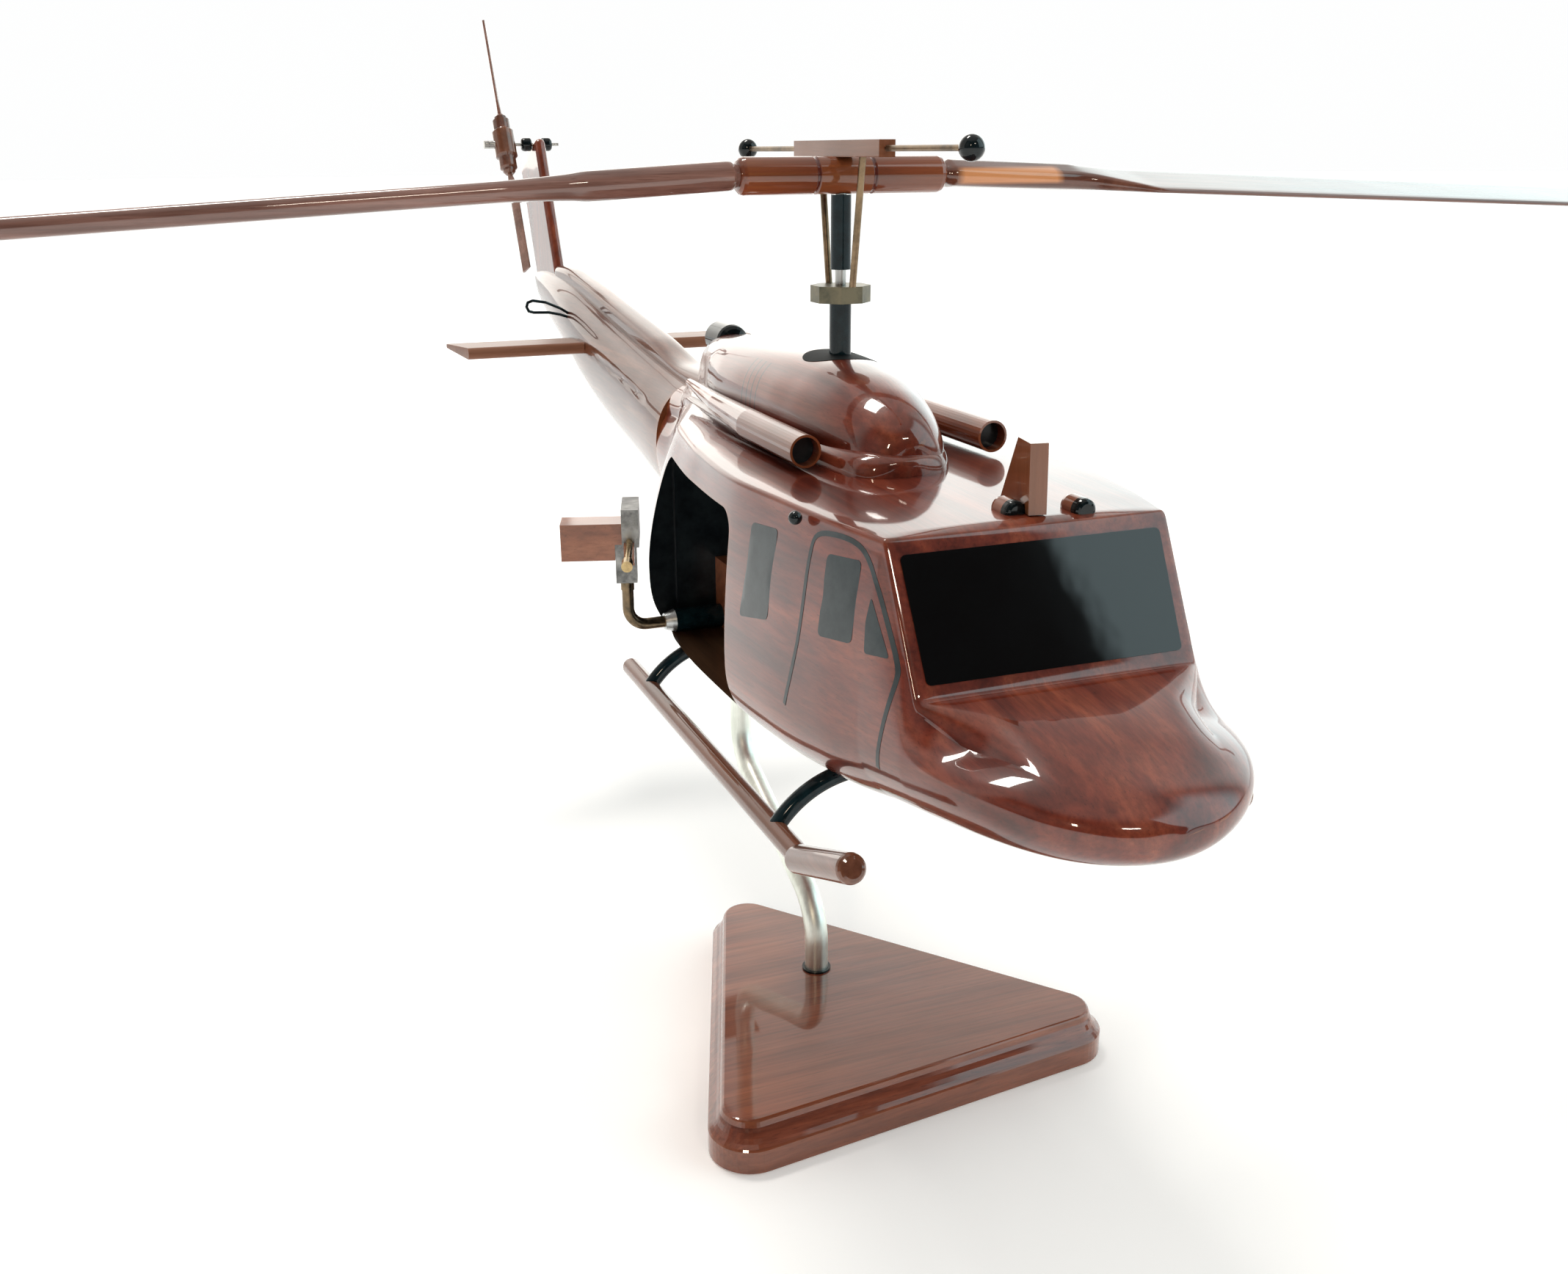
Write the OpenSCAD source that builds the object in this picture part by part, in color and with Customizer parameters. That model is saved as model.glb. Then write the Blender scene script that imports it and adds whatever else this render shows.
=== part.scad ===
// Desk model of a single-rotor utility helicopter, carved in lacquered hardwood, on a bent rod and
// a three-cornered board. Nose towards -Y, port side towards +X, the board's underside at Z = 0.

/* [Stand] */
// Thickness of the board
base_t = 12; // [10:0.5:16]
// Radius of the top face's corners
base_corner = 6.5; // [5:0.5:12]
// How far the lower step stands out past the top face
base_step = 3.3; // [3.2:0.1:6]
// Diameter of the bent rod
rod_d = 6; // [5:0.5:7]
// Where the rod stands in the board, fore and aft
rod_foot_y = 12.7; // [8:0.1:18]
// Where the rod enters the belly, fore and aft
rod_top_y = 69.5; // [66:0.5:73]
// Radius of the rod's two bends, at the rod's middle
rod_bend = 14; // [12:0.5:16]
// Angle of the rod's sloping stretch above level
rod_slope = 22; // [18:1:30]

/* [Fuselage] */
// Height of the cabin's belly
belly_z = 98; // [97:0.5:99]
// Height of the roof's front edge
roof_z = 154.5; // [153:0.5:156]
// Greatest half width of the cabin
cabin_half = 39; // [37:0.5:41]
// Front edge of the roof
roof_front_y = -84; // [-86:0.5:-82]
// Foot of the windshield
windshield_y = -97; // [-99:0.5:-95]
// Height of the windshield's foot
windshield_z = 129.5; // [128:0.5:131]
// Tip of the nose
nose_y = -134; // [-138:1:-130]
// Front of the cabin doorway
door_front_y = -31; // [-34:0.5:-28]
// Back of the cabin doorway
door_back_y = 31; // [28:0.5:33]
// Height of the cabin floor
floor_z = 105; // [104:0.5:108]
// Height of the cabin ceiling
ceiling_z = 148.5; // [146:0.5:150]

/* [Tail] */
// Length of the tail boom behind its joint
boom_len = 208; // [200:1:216]
// Station of the joint between fuselage and boom
boom_y = 96; // [95:0.5:98]
// Station of the tail rotor's axle
tail_axle_y = 300.5; // [296:0.5:304]
// Height of the tail rotor's axle
tail_axle_z = 219.5; // [215:0.5:222]
// Radius of the tail rotor
tail_rotor_r = 53.5; // [45:1:60]
// Turn of the tail rotor from upright at rest
tail_rotor_turn = 30; // [0:5:60]

/* [Rotor] */
// Radius of the main rotor
rotor_r = 244; // [200:1:260]
// Height of the rotor hub's middle
hub_z = 212; // [210:0.5:214]
// Diameter of the hub's turned barrel
hub_d = 7.8; // [7:0.2:9]
// Half length of the hub's barrel
hub_half = 24; // [22:0.5:26]
// Chord of a main blade
blade_chord = 17.5; // [14:0.5:20]
// Pitch of a main blade
blade_pitch = 9; // [0:1:12]
// Droop of a main blade
blade_droop = 2.7; // [0:0.1:3]
// Half length of the stabilizer bar, to the middle of each weight
bar_half = 58; // [50:1:64]
// Diameter of each weight
weight_d = 4.8; // [4:0.2:6]

/* [Skids] */
// Half the distance between the skids
skid_half = 40; // [38:0.5:42]
// Height of the skids' middle
skid_z = 93; // [92:0.5:94]
// Diameter of a skid
skid_d = 4.5; // [4:0.1:5]
// Diameter of an upturned toe
toe_d = 5.6; // [5:0.1:6]

/* [Door guns] */
// Station of the guns' cross tube and posts
gun_y = 27; // [25:0.5:28]
// Distance of each gun's post from the middle
gun_x = 43.4; // [43:0.1:46]
// Height of the cross tube
gun_tube_z = 107.9; // [107.8:0.1:110]
// Turn of each gun outboard of straight ahead at rest
gun_yaw = 17; // [10:1:25]

/* [Hidden] */
$fn = 48;
fine = 0.02; // overlap that joins two stretches of one solid
run = 0.05; // running clearance between a shaft and its bore
cyl_fn = 64;
wood = "#4a1a10";
wood_light = "#6e3420";
black = "#15181a";
brass = "#a58b52";
grey_paint = "#39474a";
metal = "#c9cdcb";
boom_end_y = boom_y + boom_len;
mast_d = 2.4;
sleeve_d = 4.4;
lower_sleeve_d = 4.8;
deck_z = 172.5; // foot of the rotor mast, in the cowling's recess
hub_drop = hub_d / 2;
block_z = 187.3;
block_t = 3.6;
sleeve_bottom_z = 192.4;
bar_z = hub_z + 5.4;
bush_d = 9;
bush_h = 9;
rod_bore_top = 124;
socket_d = 10;
tail_x = -12.3;
bead_x = 4.2;
bead_d = 4.2;
fin_t = 4.2;
tail_pin_d = 1.2;
gun_post_d = 2;

// ---------------------------------------------------------------- helpers

// A cylinder from point a to point b
module bar(a, b, d) {
    v = b - a;
    len = norm(v);
    translate(a)
        rotate([0, acos(v[2] / len), atan2(v[1], v[0])])
            cylinder(d = d, h = len, $fn = cyl_fn);
}

// Both sides of a piece that is drawn on the port side
module both_sides() {
    children();
    mirror([1, 0, 0]) children();
}

// Straight interpolation in a list of [station, value, value, ...] rows
function row_at(rows, y, i = 0) =
    i >= len(rows) - 2 || y <= rows[i + 1][0]
        ? let(t = (y - rows[i][0]) / (rows[i + 1][0] - rows[i][0])) rows[i] * (1 - t) + rows[i + 1] * t
        : row_at(rows, y, i + 1);

// A signed power, which turns a circle into a squarer oval
function spow(v, e) = sign(v) * pow(abs(v), e);

// One ring of a carved form: half width w, bottom zb, widest height zm, top zt, the squareness
// of the lower and upper halves, and a shift sideways
function ring(s, grow, sides) = [
    for (k = [0 : sides - 1])
        let(
            a = 360 * (k + 0.5) / sides,
            q = sin(a) < 0 ? s[5] : s[6],
            h = sin(a) < 0 ? s[3] - s[2] + grow : s[4] - s[3] + grow,
            shift = len(s) > 7 ? s[7] : 0
        )
        [shift + (s[1] + grow) * spow(cos(a), 2 / q), s[0], s[3] + h * spow(sin(a), 2 / q)]
];

// A form lofted through rings of rows [y, half width, bottom, middle, top, squareness x 2]
module loft(rows, grow = 0, sides = 40) {
    skin_over([for (s = rows) ring(s, grow, sides)]);
}

// A closed skin over rings of equally many points, front ring first
module skin_over(rings) {
    n = len(rings);
    sides = len(rings[0]);
    polyhedron(
        [for (r = rings) each r],
        concat(
            [[for (k = [sides - 1 : -1 : 0]) k]],
            [for (i = [0 : n - 2], k = [0 : sides - 1])
                let(a = i * sides + k, b = i * sides + (k + 1) % sides)
                [b, b + sides, a + sides, a]],
            [[for (k = [0 : sides - 1]) (n - 1) * sides + k]]
        ),
        convexity = 6
    );
}

// One ring of a bent tube round a line of [y, z] points, square to the line at point i
function tube_ring(line, i, r, sides) =
    let(
        n = len(line),
        a = line[max(i - 1, 0)],
        b = line[min(i + 1, n - 1)],
        t = (b - a) / norm(b - a),
        p = line[i]
    )
    [for (k = [0 : sides - 1])
        let(c = -360 * (k + 0.5) / sides, u = r * cos(c), v = r * sin(c))
        [u, p[0] + v * t[1], p[1] - v * t[0]]];

// A bent tube of diameter d round such a line
module bent_tube(line, d, sides = 32) {
    skin_over([for (i = [0 : len(line) - 1]) tube_ring(line, i, d / 2, sides)]);
}

// Everything inside is carved from one block, as a single surface
module carved() {
    resize([0, 0, 0]) children();
}

// ---------------------------------------------------------------- fuselage

// Stations of the cabin, front to back: [y, half width, belly, height of the widest, roof,
// roof's half width, radius of the roof's edge, squareness of the belly's corners]
cabin_rows = [
    [nose_y, 2, 114.8, 116.2, 117.6, 1.5, 0.8, 2],
    [nose_y + 1.5, 9, 112, 116.4, 119.4, 6, 3, 2],
    [nose_y + 5, 15.5, 109.8, 117, 121.9, 10, 5, 2],
    [nose_y + 10, 20.8, 108, 117.8, 124, 13.5, 6, 2.05],
    [nose_y + 17, 25.2, 106.3, 118.8, 126.3, 18, 6, 2.1],
    [nose_y + 26, 28.6, 104.4, 119.6, 128.2, 22, 6, 2.1],
    [windshield_y, 31, 102.4, 120, windshield_z, 28.2, 1.5, 2.15],
    [roof_front_y, 32.8, 100.6, 120, roof_z, 28.4, 1, 2.3],
    [-70, 35.6, 98.8, 119.5, roof_z + 0.3, 31.6, 1, 2.5],
    [-50, 38, belly_z, 119.5, roof_z + 0.6, 34.4, 1, 2.8],
    [-30, cabin_half, belly_z, 119.5, roof_z + 0.7, 36.4, 1, 3],
    [0, cabin_half + 0.6, belly_z, 120, roof_z + 0.6, 34, 1.2, 3],
    [20, cabin_half - 0.4, belly_z, 120.5, roof_z + 0.4, 30.8, 1.6, 3],
    [34, 36, belly_z + 0.6, 121.5, roof_z + 0.4, 28, 2, 2.9],
    [46, 31, belly_z + 3, 124, roof_z + 0.3, 24.4, 3.5, 2.7],
    [60, 24, belly_z + 8, 128, roof_z + 0.2, 19.4, 5, 2.5],
    [72, 18.6, belly_z + 13, 132, roof_z + 0.2, 15, 6, 2.3],
    [84, 15.8, belly_z + 17.6, 135, roof_z, 12, 7, 2.1],
    [boom_y, 14.9, belly_z + 20.4, 136.6, roof_z, 11.6, 8, 2.1]
];

// The right half of a station, from the belly's middle round to the roof's middle, as [x, z]
function cabin_half_ring(s, g) = concat(
    [for (a = [-90 + 6 : 12 : -6]) [(s[1] + g) * spow(cos(a), 2 / s[7]), s[3] + (s[3] - s[2] + g) * spow(sin(a), 2 / s[7])]],
    [for (t = [0 : 0.25 : 1])
        [s[1] + g + (s[5] - s[1]) * pow(t, 1.7), s[3] + (s[4] - s[6] - s[3]) * t]],
    [for (a = [18 : 18 : 90]) [s[5] + g - s[6] + s[6] * cos(a), s[4] + g - s[6] + s[6] * sin(a)]],
    [for (t = [0.66, 0.33]) [(s[5] - s[6]) * t, s[4] + g + (s[0] > roof_front_y ? 0.5 * (1 - t) : 0)]]
);

function cabin_ring(s, g) =
    let(h = cabin_half_ring(s, g), n = len(h))
    concat(
        [for (p = h) [p[0], s[0], p[1]]],
        [for (i = [n - 1 : -1 : 0]) [-h[i][0], s[0], h[i][1]]]
    );

module fuselage_block(grow = 0) {
    skin_over([for (s = cabin_rows) cabin_ring(s, grow)]);
}

// The doorway's outline in side view, with round corners, drawn in by a margin
module doorway_shape(margin = 0) {
    r = 5;
    hull()
        for (y = [door_front_y + r, door_back_y - r], z = [floor_z + r, ceiling_z - r])
            translate([y, z]) circle(r - margin, $fn = 32);
}

// Carries a side-view outline across X, from x0 to x1
module across(x0, x1) {
    translate([x0, 0, 0])
        rotate([90, 0, 90])
            linear_extrude(x1 - x0) children();
}

module cabin_hollow() {
    across(-60, 60) doorway_shape();
}

skin = 0.5; // depth of the painted inlays
proud = 0.12;

// A four-sided pane with round corners, through the middles of its corners
module pane(points) {
    hull() for (p = points) translate(p) circle(1, $fn = 16);
}

module rear_window_shape() {
    pane([[-42.4, 147.8], [-51, 148.5], [-50.7, 132.8], [-39.9, 130.2]]);
}

module crew_window_shape() {
    pane([[-70.9, 148.1], [-78.7, 148.9], [-79.3, 136.2], [-71.2, 135.1]]);
}

module quarter_window_shape() {
    pane([[-84.4, 143.4], [-89.1, 136.2], [-85, 135.7], [-84.3, 139.9]]);
}

// Middle line of the crew door's painted seam, in side view
door_seam = [[-59.8, 117.5], [-62.4, 125], [-64.4, 134], [-64.2, 149.2], [-65.8, 152], [-72.2, 152.9],
    [-77.7, 152.6], [-81, 150.9], [-84.5, 147], [-88.8, 140.4], [-92.4, 134.6], [-92.8, 132.4],
    [-92.2, 127.4], [-91.2, 121.1], [-89.9, 115.5]];
seam_w = 1.1;

module door_seam_shape() {
    for (i = [0 : len(door_seam) - 2])
        hull() for (p = [door_seam[i], door_seam[i + 1]]) translate(p) circle(d = seam_w, $fn = 12);
}

module side_windows_shape() {
    rear_window_shape();
    crew_window_shape();
    quarter_window_shape();
}

// A thin inlay that follows the fuselage's side, from a side-view outline
module side_inlay() {
    carved() difference() {
        intersection() {
            across(-50, -14) children();
            fuselage_block(proud);
        }
        fuselage_block(-skin);
    }
}

// The pocket that such an inlay fills
module side_pocket() {
    difference() {
        across(-50, -14) children();
        fuselage_block(-skin);
    }
}

// The windshield's slope, as a frame whose X is the width and Y climbs the glass
slope_y = roof_front_y - windshield_y;
slope_z = roof_z - windshield_z;
slope_len = norm([slope_y, slope_z]);
slope_angle = atan2(slope_z, slope_y);

module on_windshield() {
    translate([0, windshield_y, windshield_z])
        rotate([slope_angle, 0, 0])
            children();
}

glass_t = 1;
glass_margin = 3;

module windshield_plate() {
    r = 1;
    on_windshield()
        translate([0, 0, -glass_t])
            linear_extrude(glass_t + 0.25)
                hull()
                    for (x = [-1, 1]) {
                        translate([x * 24.5, 3.5]) circle(r, $fn = 24);
                        translate([x * 25, slope_len - glass_margin - 1]) circle(r, $fn = 24);
                    }
}

module fuselage() {
    color(wood) carved() difference() {
        fuselage_block();
        cabin_hollow();
        windshield_plate();
        both_sides() side_pocket() side_windows_shape();
        both_sides() side_pocket() door_seam_shape();
        translate([0, 0, bush_z]) cylinder(d = bush_d, h = 20);
        translate([0, rod_top_y, belly_z]) cylinder(d = socket_d + 0.08, h = socket_top - belly_z + 0.03);
        gun_tube_bar(tube_half + 4, 0.04);
        cross_tube(front_leg_y, 0.03);
        cross_tube(rear_leg_y, 0.03);
        vent_bars(0.03);
        position_ball();
        antenna_tenon();
    }
}

module windshield() {
    color(black) windshield_plate();
}

module side_windows() {
    color(grey_paint) both_sides() side_inlay() side_windows_shape();
}

module door_lines() {
    color(grey_paint) both_sides() side_inlay() door_seam_shape();
}

liner_t = 0.8;
liner_half = 30;

// The blackened inner faces of the cabin: ceiling, front and rear walls
module cabin_liner() {
    color(black)
        difference() {
            across(-liner_half, liner_half) doorway_shape();
            across(-liner_half - 1, liner_half + 1) doorway_shape(liner_t);
            translate([-liner_half - 1, door_front_y + 4, floor_z - 1])
                cube([2 * liner_half + 2, door_back_y - door_front_y - 8, 3]);
            gun_tube_bar(liner_half + 1, 0.04);
        }
}

bench_half = 20;
bench_depth = 14;
bench_top = 122;
bench_back_y = door_back_y - liner_t - 0.03;

module rear_bench() {
    color(wood_light)
        difference() {
            across(-bench_half, bench_half)
                polygon([
                    [bench_back_y - bench_depth, floor_z],
                    [bench_back_y - bench_depth, bench_top],
                    [bench_back_y, bench_top],
                    [bench_back_y, floor_z + 5.2],
                    [door_back_y - 5.2, floor_z]
                ]);
            gun_tube_bar(bench_half + 1, 0.04);
        }
}

module seat_backs() {
    color(black)
        both_sides()
            translate([22, -23.8, floor_z])
                rotate([90, 0, 0])
                    linear_extrude(2)
                        hull() {
                            translate([-6, 0]) square([12, 1]);
                            for (x = [-1, 1]) translate([x * 4, 33]) circle(2, $fn = 24);
                        }
}

tube_half = 32;
tube_d = 5.6;

module gun_tube_bar(half, grow = 0) {
    translate([-half, gun_y, gun_tube_z])
        rotate([0, 90, 0])
            cylinder(d = tube_d + 2 * grow, h = 2 * half, $fn = cyl_fn);
}

module gun_cross_tube() {
    color(black) gun_tube_bar(tube_half);
}

// Soldered collars on the tube's ends, closed behind the posts
module gun_tube_collars() {
    color(metal)
        both_sides()
            translate([tube_half, gun_y, gun_tube_z])
                rotate([0, 90, 0])
                    cylinder(d1 = tube_d, d2 = 4, h = 2.5, $fn = cyl_fn);
}

// ---------------------------------------------------------------- stand

// The top face's three corners, drawn sharp, from above: starboard front, aft, port front
board_corners = [[-45.9, -43.2], [-9.3, 59.6], [63, -32.3]];

// A point's unit vector
function unit(v) = v / norm(v);

// The board's outline from above, drawn in by a margin, at a height
function board_ring(margin, z) = [
    for (i = [0 : 2])
        let(
            c = board_corners[i],
            in = unit(c - board_corners[(i + 2) % 3]),
            out = unit(board_corners[(i + 1) % 3] - c),
            half = acos(-in * out) / 2,
            middle = c + unit(out - in) * base_corner / sin(half),
            from = atan2(in[0], -in[1]),
            sweep = 180 - 2 * half,
            r = base_corner - margin + base_step
        )
        for (k = [0 : 16])
            let(a = from - sweep * k / 16)
            [middle[0] + r * cos(a), middle[1] + r * sin(a), z]
];

// The board's edge, as [height, margin from the lower outline] steps
edge = [
    [0, 0.4], [0.4, 0], [base_t * 0.5, 0], [base_t * 0.54, 0.3],
    [base_t * 0.6, 1.2], [base_t * 0.68, 1.9], [base_t * 0.78, 2.5], [base_t * 0.85, 3.1],
    [base_t * 0.86, base_step - 0.5], [base_t - 0.5, base_step - 0.1],
    [base_t - 0.15, base_step + 0.15], [base_t, base_step + 0.5]
];

module stand_base() {
    color(wood)
        carved() difference() {
            skin_over([for (e = edge) board_ring(e[1], e[0])]);
            translate([0, rod_foot_y, 3]) cylinder(d = rod_d + 0.06, h = base_t);
        }
}

// Side view of the rod's middle line: foot, two bends and top
turn = 90 - rod_slope;
run_y = rod_top_y - rod_foot_y;
first_bend_z = 19.5;
second_bend_z = first_bend_z + 2 * rod_bend * cos(rod_slope)
    + (run_y - 2 * rod_bend * (1 - sin(rod_slope))) * tan(rod_slope);

// The middle line as [y, z] points, from foot to top
rod_line = concat(
    [[rod_foot_y, 3]],
    [for (a = [0 : 1 / 9 : 1]) [rod_foot_y + rod_bend * (1 - cos(turn * a)), first_bend_z + rod_bend * sin(turn * a)]],
    [for (a = [1 : -1 / 9 : 0]) [rod_top_y - rod_bend * (1 - cos(turn * a)), second_bend_z - rod_bend * sin(turn * a)]],
    [[rod_top_y, rod_bore_top - 0.3]]
);

module stand_rod() {
    color(metal) bent_tube(rod_line, rod_d, 36);
}

// A dark ring where the rod enters the board
module rod_ring() {
    color(black)
        translate([0, rod_foot_y, base_t])
            rotate_extrude()
                translate([rod_d / 2 + 0.04, 0]) square([0.7, 0.5]);
}

socket_bottom = 112.6;
socket_top = 128;

module rod_socket() {
    color(metal)
        translate([0, rod_top_y, 0])
            difference() {
                translate([0, 0, socket_bottom]) cylinder(d = socket_d, h = socket_top - socket_bottom);
                translate([0, 0, socket_bottom - 1])
                    cylinder(d = rod_d + 2 * run, h = rod_bore_top - socket_bottom + 1);
            }
}

// ---------------------------------------------------------------- engine cowling and roof

// The outline of a turned dowel of length h, with rounded ends of radius e0 and e1
function round_end(r, e, z, s) =
    e <= 0 ? [[r, z]] : [for (a = [0 : 30 : 90]) [r - e + e * (s > 0 ? cos(a) : sin(a)),
        z + s * (e * (s > 0 ? sin(a) : cos(a)) - e)]];

module dowel(d, h, e0 = 0, e1 = 0) {
    rotate_extrude($fn = cyl_fn)
        polygon(concat([[0, 0]], round_end(d / 2, e0, 0, -1), round_end(d / 2, e1, h, 1), [[0, h]]));
}

// Lays a dowel's length along +Y
module along_y(y) {
    translate([0, y, 0]) rotate([-90, 0, 0]) children();
}

// The rows of the sill and the cowling, which sit a little askew towards the front
sill_rows = [
    [-45, 4, 150, 154, 158.6, 3, 3, -4.6],
    [-44, 7.4, 150, 154, 159.4, 4, 3, -4.5],
    [-41.5, 10.2, 150, 154, 160.2, 5, 3.4, -4.3],
    [-36, 12.4, 150, 154, 160.6, 6, 4, -3.8],
    [-26, 14.3, 150, 154, 160.7, 6, 4.5, -2.8],
    [-10, 16.6, 150, 154, 160.4, 6, 4.5, -1.5],
    [10, 18, 150, 154, 159.7, 6, 4.5, -0.5],
    [35, 17.4, 149, 153, 158.3, 6, 4.5, 0],
    [60, 15, 146, 152, 157.4, 5, 4, 0],
    [80, 12, 146, 151, 156.6, 4, 3, 0],
    [92, 9, 144, 149, 155.9, 3, 2.5, 0]
];

cowling_rows = [
    [-43.4, 3, 152, 156, 162.4, 2, 2, -2.6],
    [-42.6, 5.8, 152, 156, 164, 2, 2, -2.7],
    [-40.3, 8.2, 152, 157, 166.6, 2.3, 2, -2.8],
    [-36, 10.5, 152, 158, 169, 2.6, 2, -2.8],
    [-30, 12.2, 152, 159, 171, 3, 2.1, -2.7],
    [-20, 13.8, 152, 160, 172.9, 3, 2.2, -2],
    [-8, 14.8, 152, 160, 174, 3, 2.3, -1.3],
    [5, 15.1, 152, 160, 174.2, 3, 2.4, -1],
    [25, 15, 152, 160, 173.6, 3, 2.6, -0.6],
    [42, 14.4, 152, 160, 172.8, 3, 2.6, -0.3],
    [53, 13.2, 152, 160, 172.3, 3, 2.6, 0],
    [60, 11.8, 152, 160, 171.8, 3, 2.6, 0],
    [67, 10, 152, 160, 171.2, 3, 2.6, 0],
    [74, 8.2, 152, 159, 170.3, 3, 2.5, 0],
    [80, 6.8, 152, 158, 168.6, 3, 2.4, 0],
    [84, 5.8, 152, 157, 166, 3, 2.2, 0]
];

disc_d = 16.6;
disc_z = 171.5;
bush_z = 150;
duct_x = 21.3;
duct_z = 159.6;
duct_d = 6.8;
duct_front = -32;
exhaust_y = 70;
exhaust_d = 8.8;
exhaust_z = 168.8;

module intake_duct_solid() {
    hull() {
        translate([duct_x, duct_front, duct_z]) rotate([-90, 0, 0]) cylinder(d = duct_d, h = 1, $fn = 32);
        translate([duct_x - 0.3, 0, duct_z]) rotate([-90, 0, 0]) cylinder(d = duct_d, h = 1, $fn = 32);
    }
    hull() {
        translate([duct_x - 0.3, 0, duct_z]) rotate([-90, 0, 0]) cylinder(d = duct_d, h = 1, $fn = 32);
        translate([duct_x - 3, 30, duct_z - 0.2]) rotate([-90, 0, 0]) cylinder(d = 5, h = 1, $fn = 32);
    }
    hull() {
        translate([duct_x - 3, 30, duct_z - 0.2]) rotate([-90, 0, 0]) cylinder(d = 5, h = 1, $fn = 32);
        translate([13.5, 66, 159.2]) rotate([-90, 0, 0]) cylinder(d = 2, h = 2, $fn = 32);
    }
}

module cowling_sill() {
    color(wood) carved() difference() {
        loft(sill_rows);
        fuselage_block();
        translate([0, 0, bush_z]) cylinder(d = bush_d, h = 20);
    }
}

// Fine grooves cut across each side of the cowling
module louvres() {
    difference() {
        both_sides()
            for (i = [0 : 3])
                translate([8, 11.9 + 3.1 * i, 150]) cube([10, 0.7, 20.8]);
        loft(cowling_rows, -0.7);
    }
}

module engine_cowling() {
    color(wood) carved() difference() {
        loft(cowling_rows);
        loft(sill_rows);
        translate([0, 0, bush_z]) cylinder(d = bush_d, h = 30);
        translate([0, 0, disc_z]) cylinder(d = disc_d + 0.1, h = 10);
        both_sides() intake_duct_solid();
        exhaust_barrel(0.02);
        louvres();
    }
}

module intake_ducts() {
    color(wood)
        both_sides()
            carved() difference() {
                intake_duct_solid();
                loft(sill_rows);
                fuselage_block();
                translate([duct_x, duct_front - 1, duct_z])
                    rotate([-90, 0, 0]) cylinder(d = duct_d - 1, h = 5);
            }
}

// Black plugs that close the ducts a little way in
module intake_throats() {
    color(black)
        both_sides()
            translate([duct_x, duct_front + 3, duct_z])
                rotate([-90, 0, 0]) cylinder(d = duct_d - 1.04, h = 1);
}

// The exhaust pipe stands out of the cowling's tail
module exhaust_barrel(grow = 0) {
    translate([0, exhaust_y, exhaust_z])
        rotate([-90, 0, 0])
            cylinder(d = exhaust_d + 2 * grow, h = 12 + grow);
}

module exhaust_nozzle() {
    color(black)
        difference() {
            translate([0, exhaust_y, exhaust_z]) rotate([-90, 0, 0]) dowel(exhaust_d, 12, 2, 0.4);
            translate([0, exhaust_y + 7, exhaust_z]) rotate([-90, 0, 0]) cylinder(d = exhaust_d - 1.6, h = 6);
        }
}

module mast_disc() {
    color(black)
        translate([0, 0, disc_z])
            difference() {
                cylinder(d = disc_d, h = deck_z - disc_z);
                translate([0, 0, -1]) cylinder(d = mast_d + 1, h = 4);
            }
}

module mast_bush() {
    color(metal)
        translate([0, 0, bush_z])
            difference() {
                cylinder(d = bush_d - 0.02, h = disc_z - bush_z);
                translate([0, 0, 2]) cylinder(d = mast_d + 2 * run, h = 30);
            }
}

// The tapered blade on the roof, let into it by a short tenon
module on_antenna() {
    translate([4.6, -73.5, roof_z + 0.8]) rotate([0, 0, -11]) children();
}

module antenna_tenon() {
    on_antenna() translate([-1.2, -5, -4]) cube([2.4, 10, 4.1]);
}

module blade_antenna() {
    color(wood_light)
        difference() {
            union() {
                antenna_tenon();
                on_antenna()
                    rotate([90, 0, 90])
                        translate([0, 0, -1.7])
                            linear_extrude(3.4) polygon([[-8, 0], [7.6, 0], [-0.8, 12.8], [-7.4, 12.8]]);
            }
            vent_bars(0.05);
        }
}

vent_d = 4.4;
vents = [[0.2, -78.6], [12.6, -82]];

module vent_bars(grow = 0) {
    for (v = vents)
        translate([v[0], v[1], 155.4])
            along_y(-0.5) cylinder(d = vent_d + 2 * grow, h = 6.5);
}

module ram_vents() {
    color(wood)
        for (v = vents)
            translate([v[0], v[1], 155.4])
                along_y(1.5) dowel(vent_d, 4.5, 0, 1.5);
}

module vent_caps() {
    color(black)
        for (v = vents)
            translate([v[0], v[1], 155.4])
                along_y(-0.5) dowel(vent_d, 2, 0.9, 0);
}

module position_ball() {
    translate([-35.2, -61, 153.8]) sphere(d = 2.6);
}

module position_light() {
    color(black) position_ball();
}

// ---------------------------------------------------------------- tail

boom_rows = [
    [boom_y, 14.9, belly_z + 20.4, 136.6, roof_z, 2.1, 2.4],
    [106, 14.4, 119.6, 137.8, 155.2, 2.1, 2.4],
    [137, 12.6, 123.5, 142, 158.2, 2.1, 2.6],
    [171, 11.4, 128, 147.5, 162.2, 2.1, 2.6],
    [206, 10.6, 135.5, 153.5, 166.8, 2.1, 2.5],
    [239, 9, 145.5, 160, 171, 2.1, 2.4],
    [262, 7.2, 150.5, 164, 172.4, 2.1, 2.3],
    [280, 5.6, 154.5, 166, 172.6, 2.1, 2.2],
    [294, 4.2, 158.5, 167, 172, 2, 2.1],
    [304, 2.6, 163, 168.5, 171, 2, 2]
];

drive_rows = [
    [80, 5.2, 150, 154, 158.6, 4, 2.6],
    [106, 4.8, 150, 156, 158.2, 4, 2.8],
    [138, 4.5, 154, 160.5, 163, 4, 2.8],
    [179, 4.2, 158, 165.5, 168.2, 4, 2.8],
    [228, 3.8, 164, 171.5, 174, 4, 2.8],
    [252, 3.4, 168, 173, 176, 4, 2.8],
    [266, 2.9, 169, 172.5, 175.6, 4, 2.6],
    [274, 2.2, 169, 171.5, 173.6, 4, 2.4]
];

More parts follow.
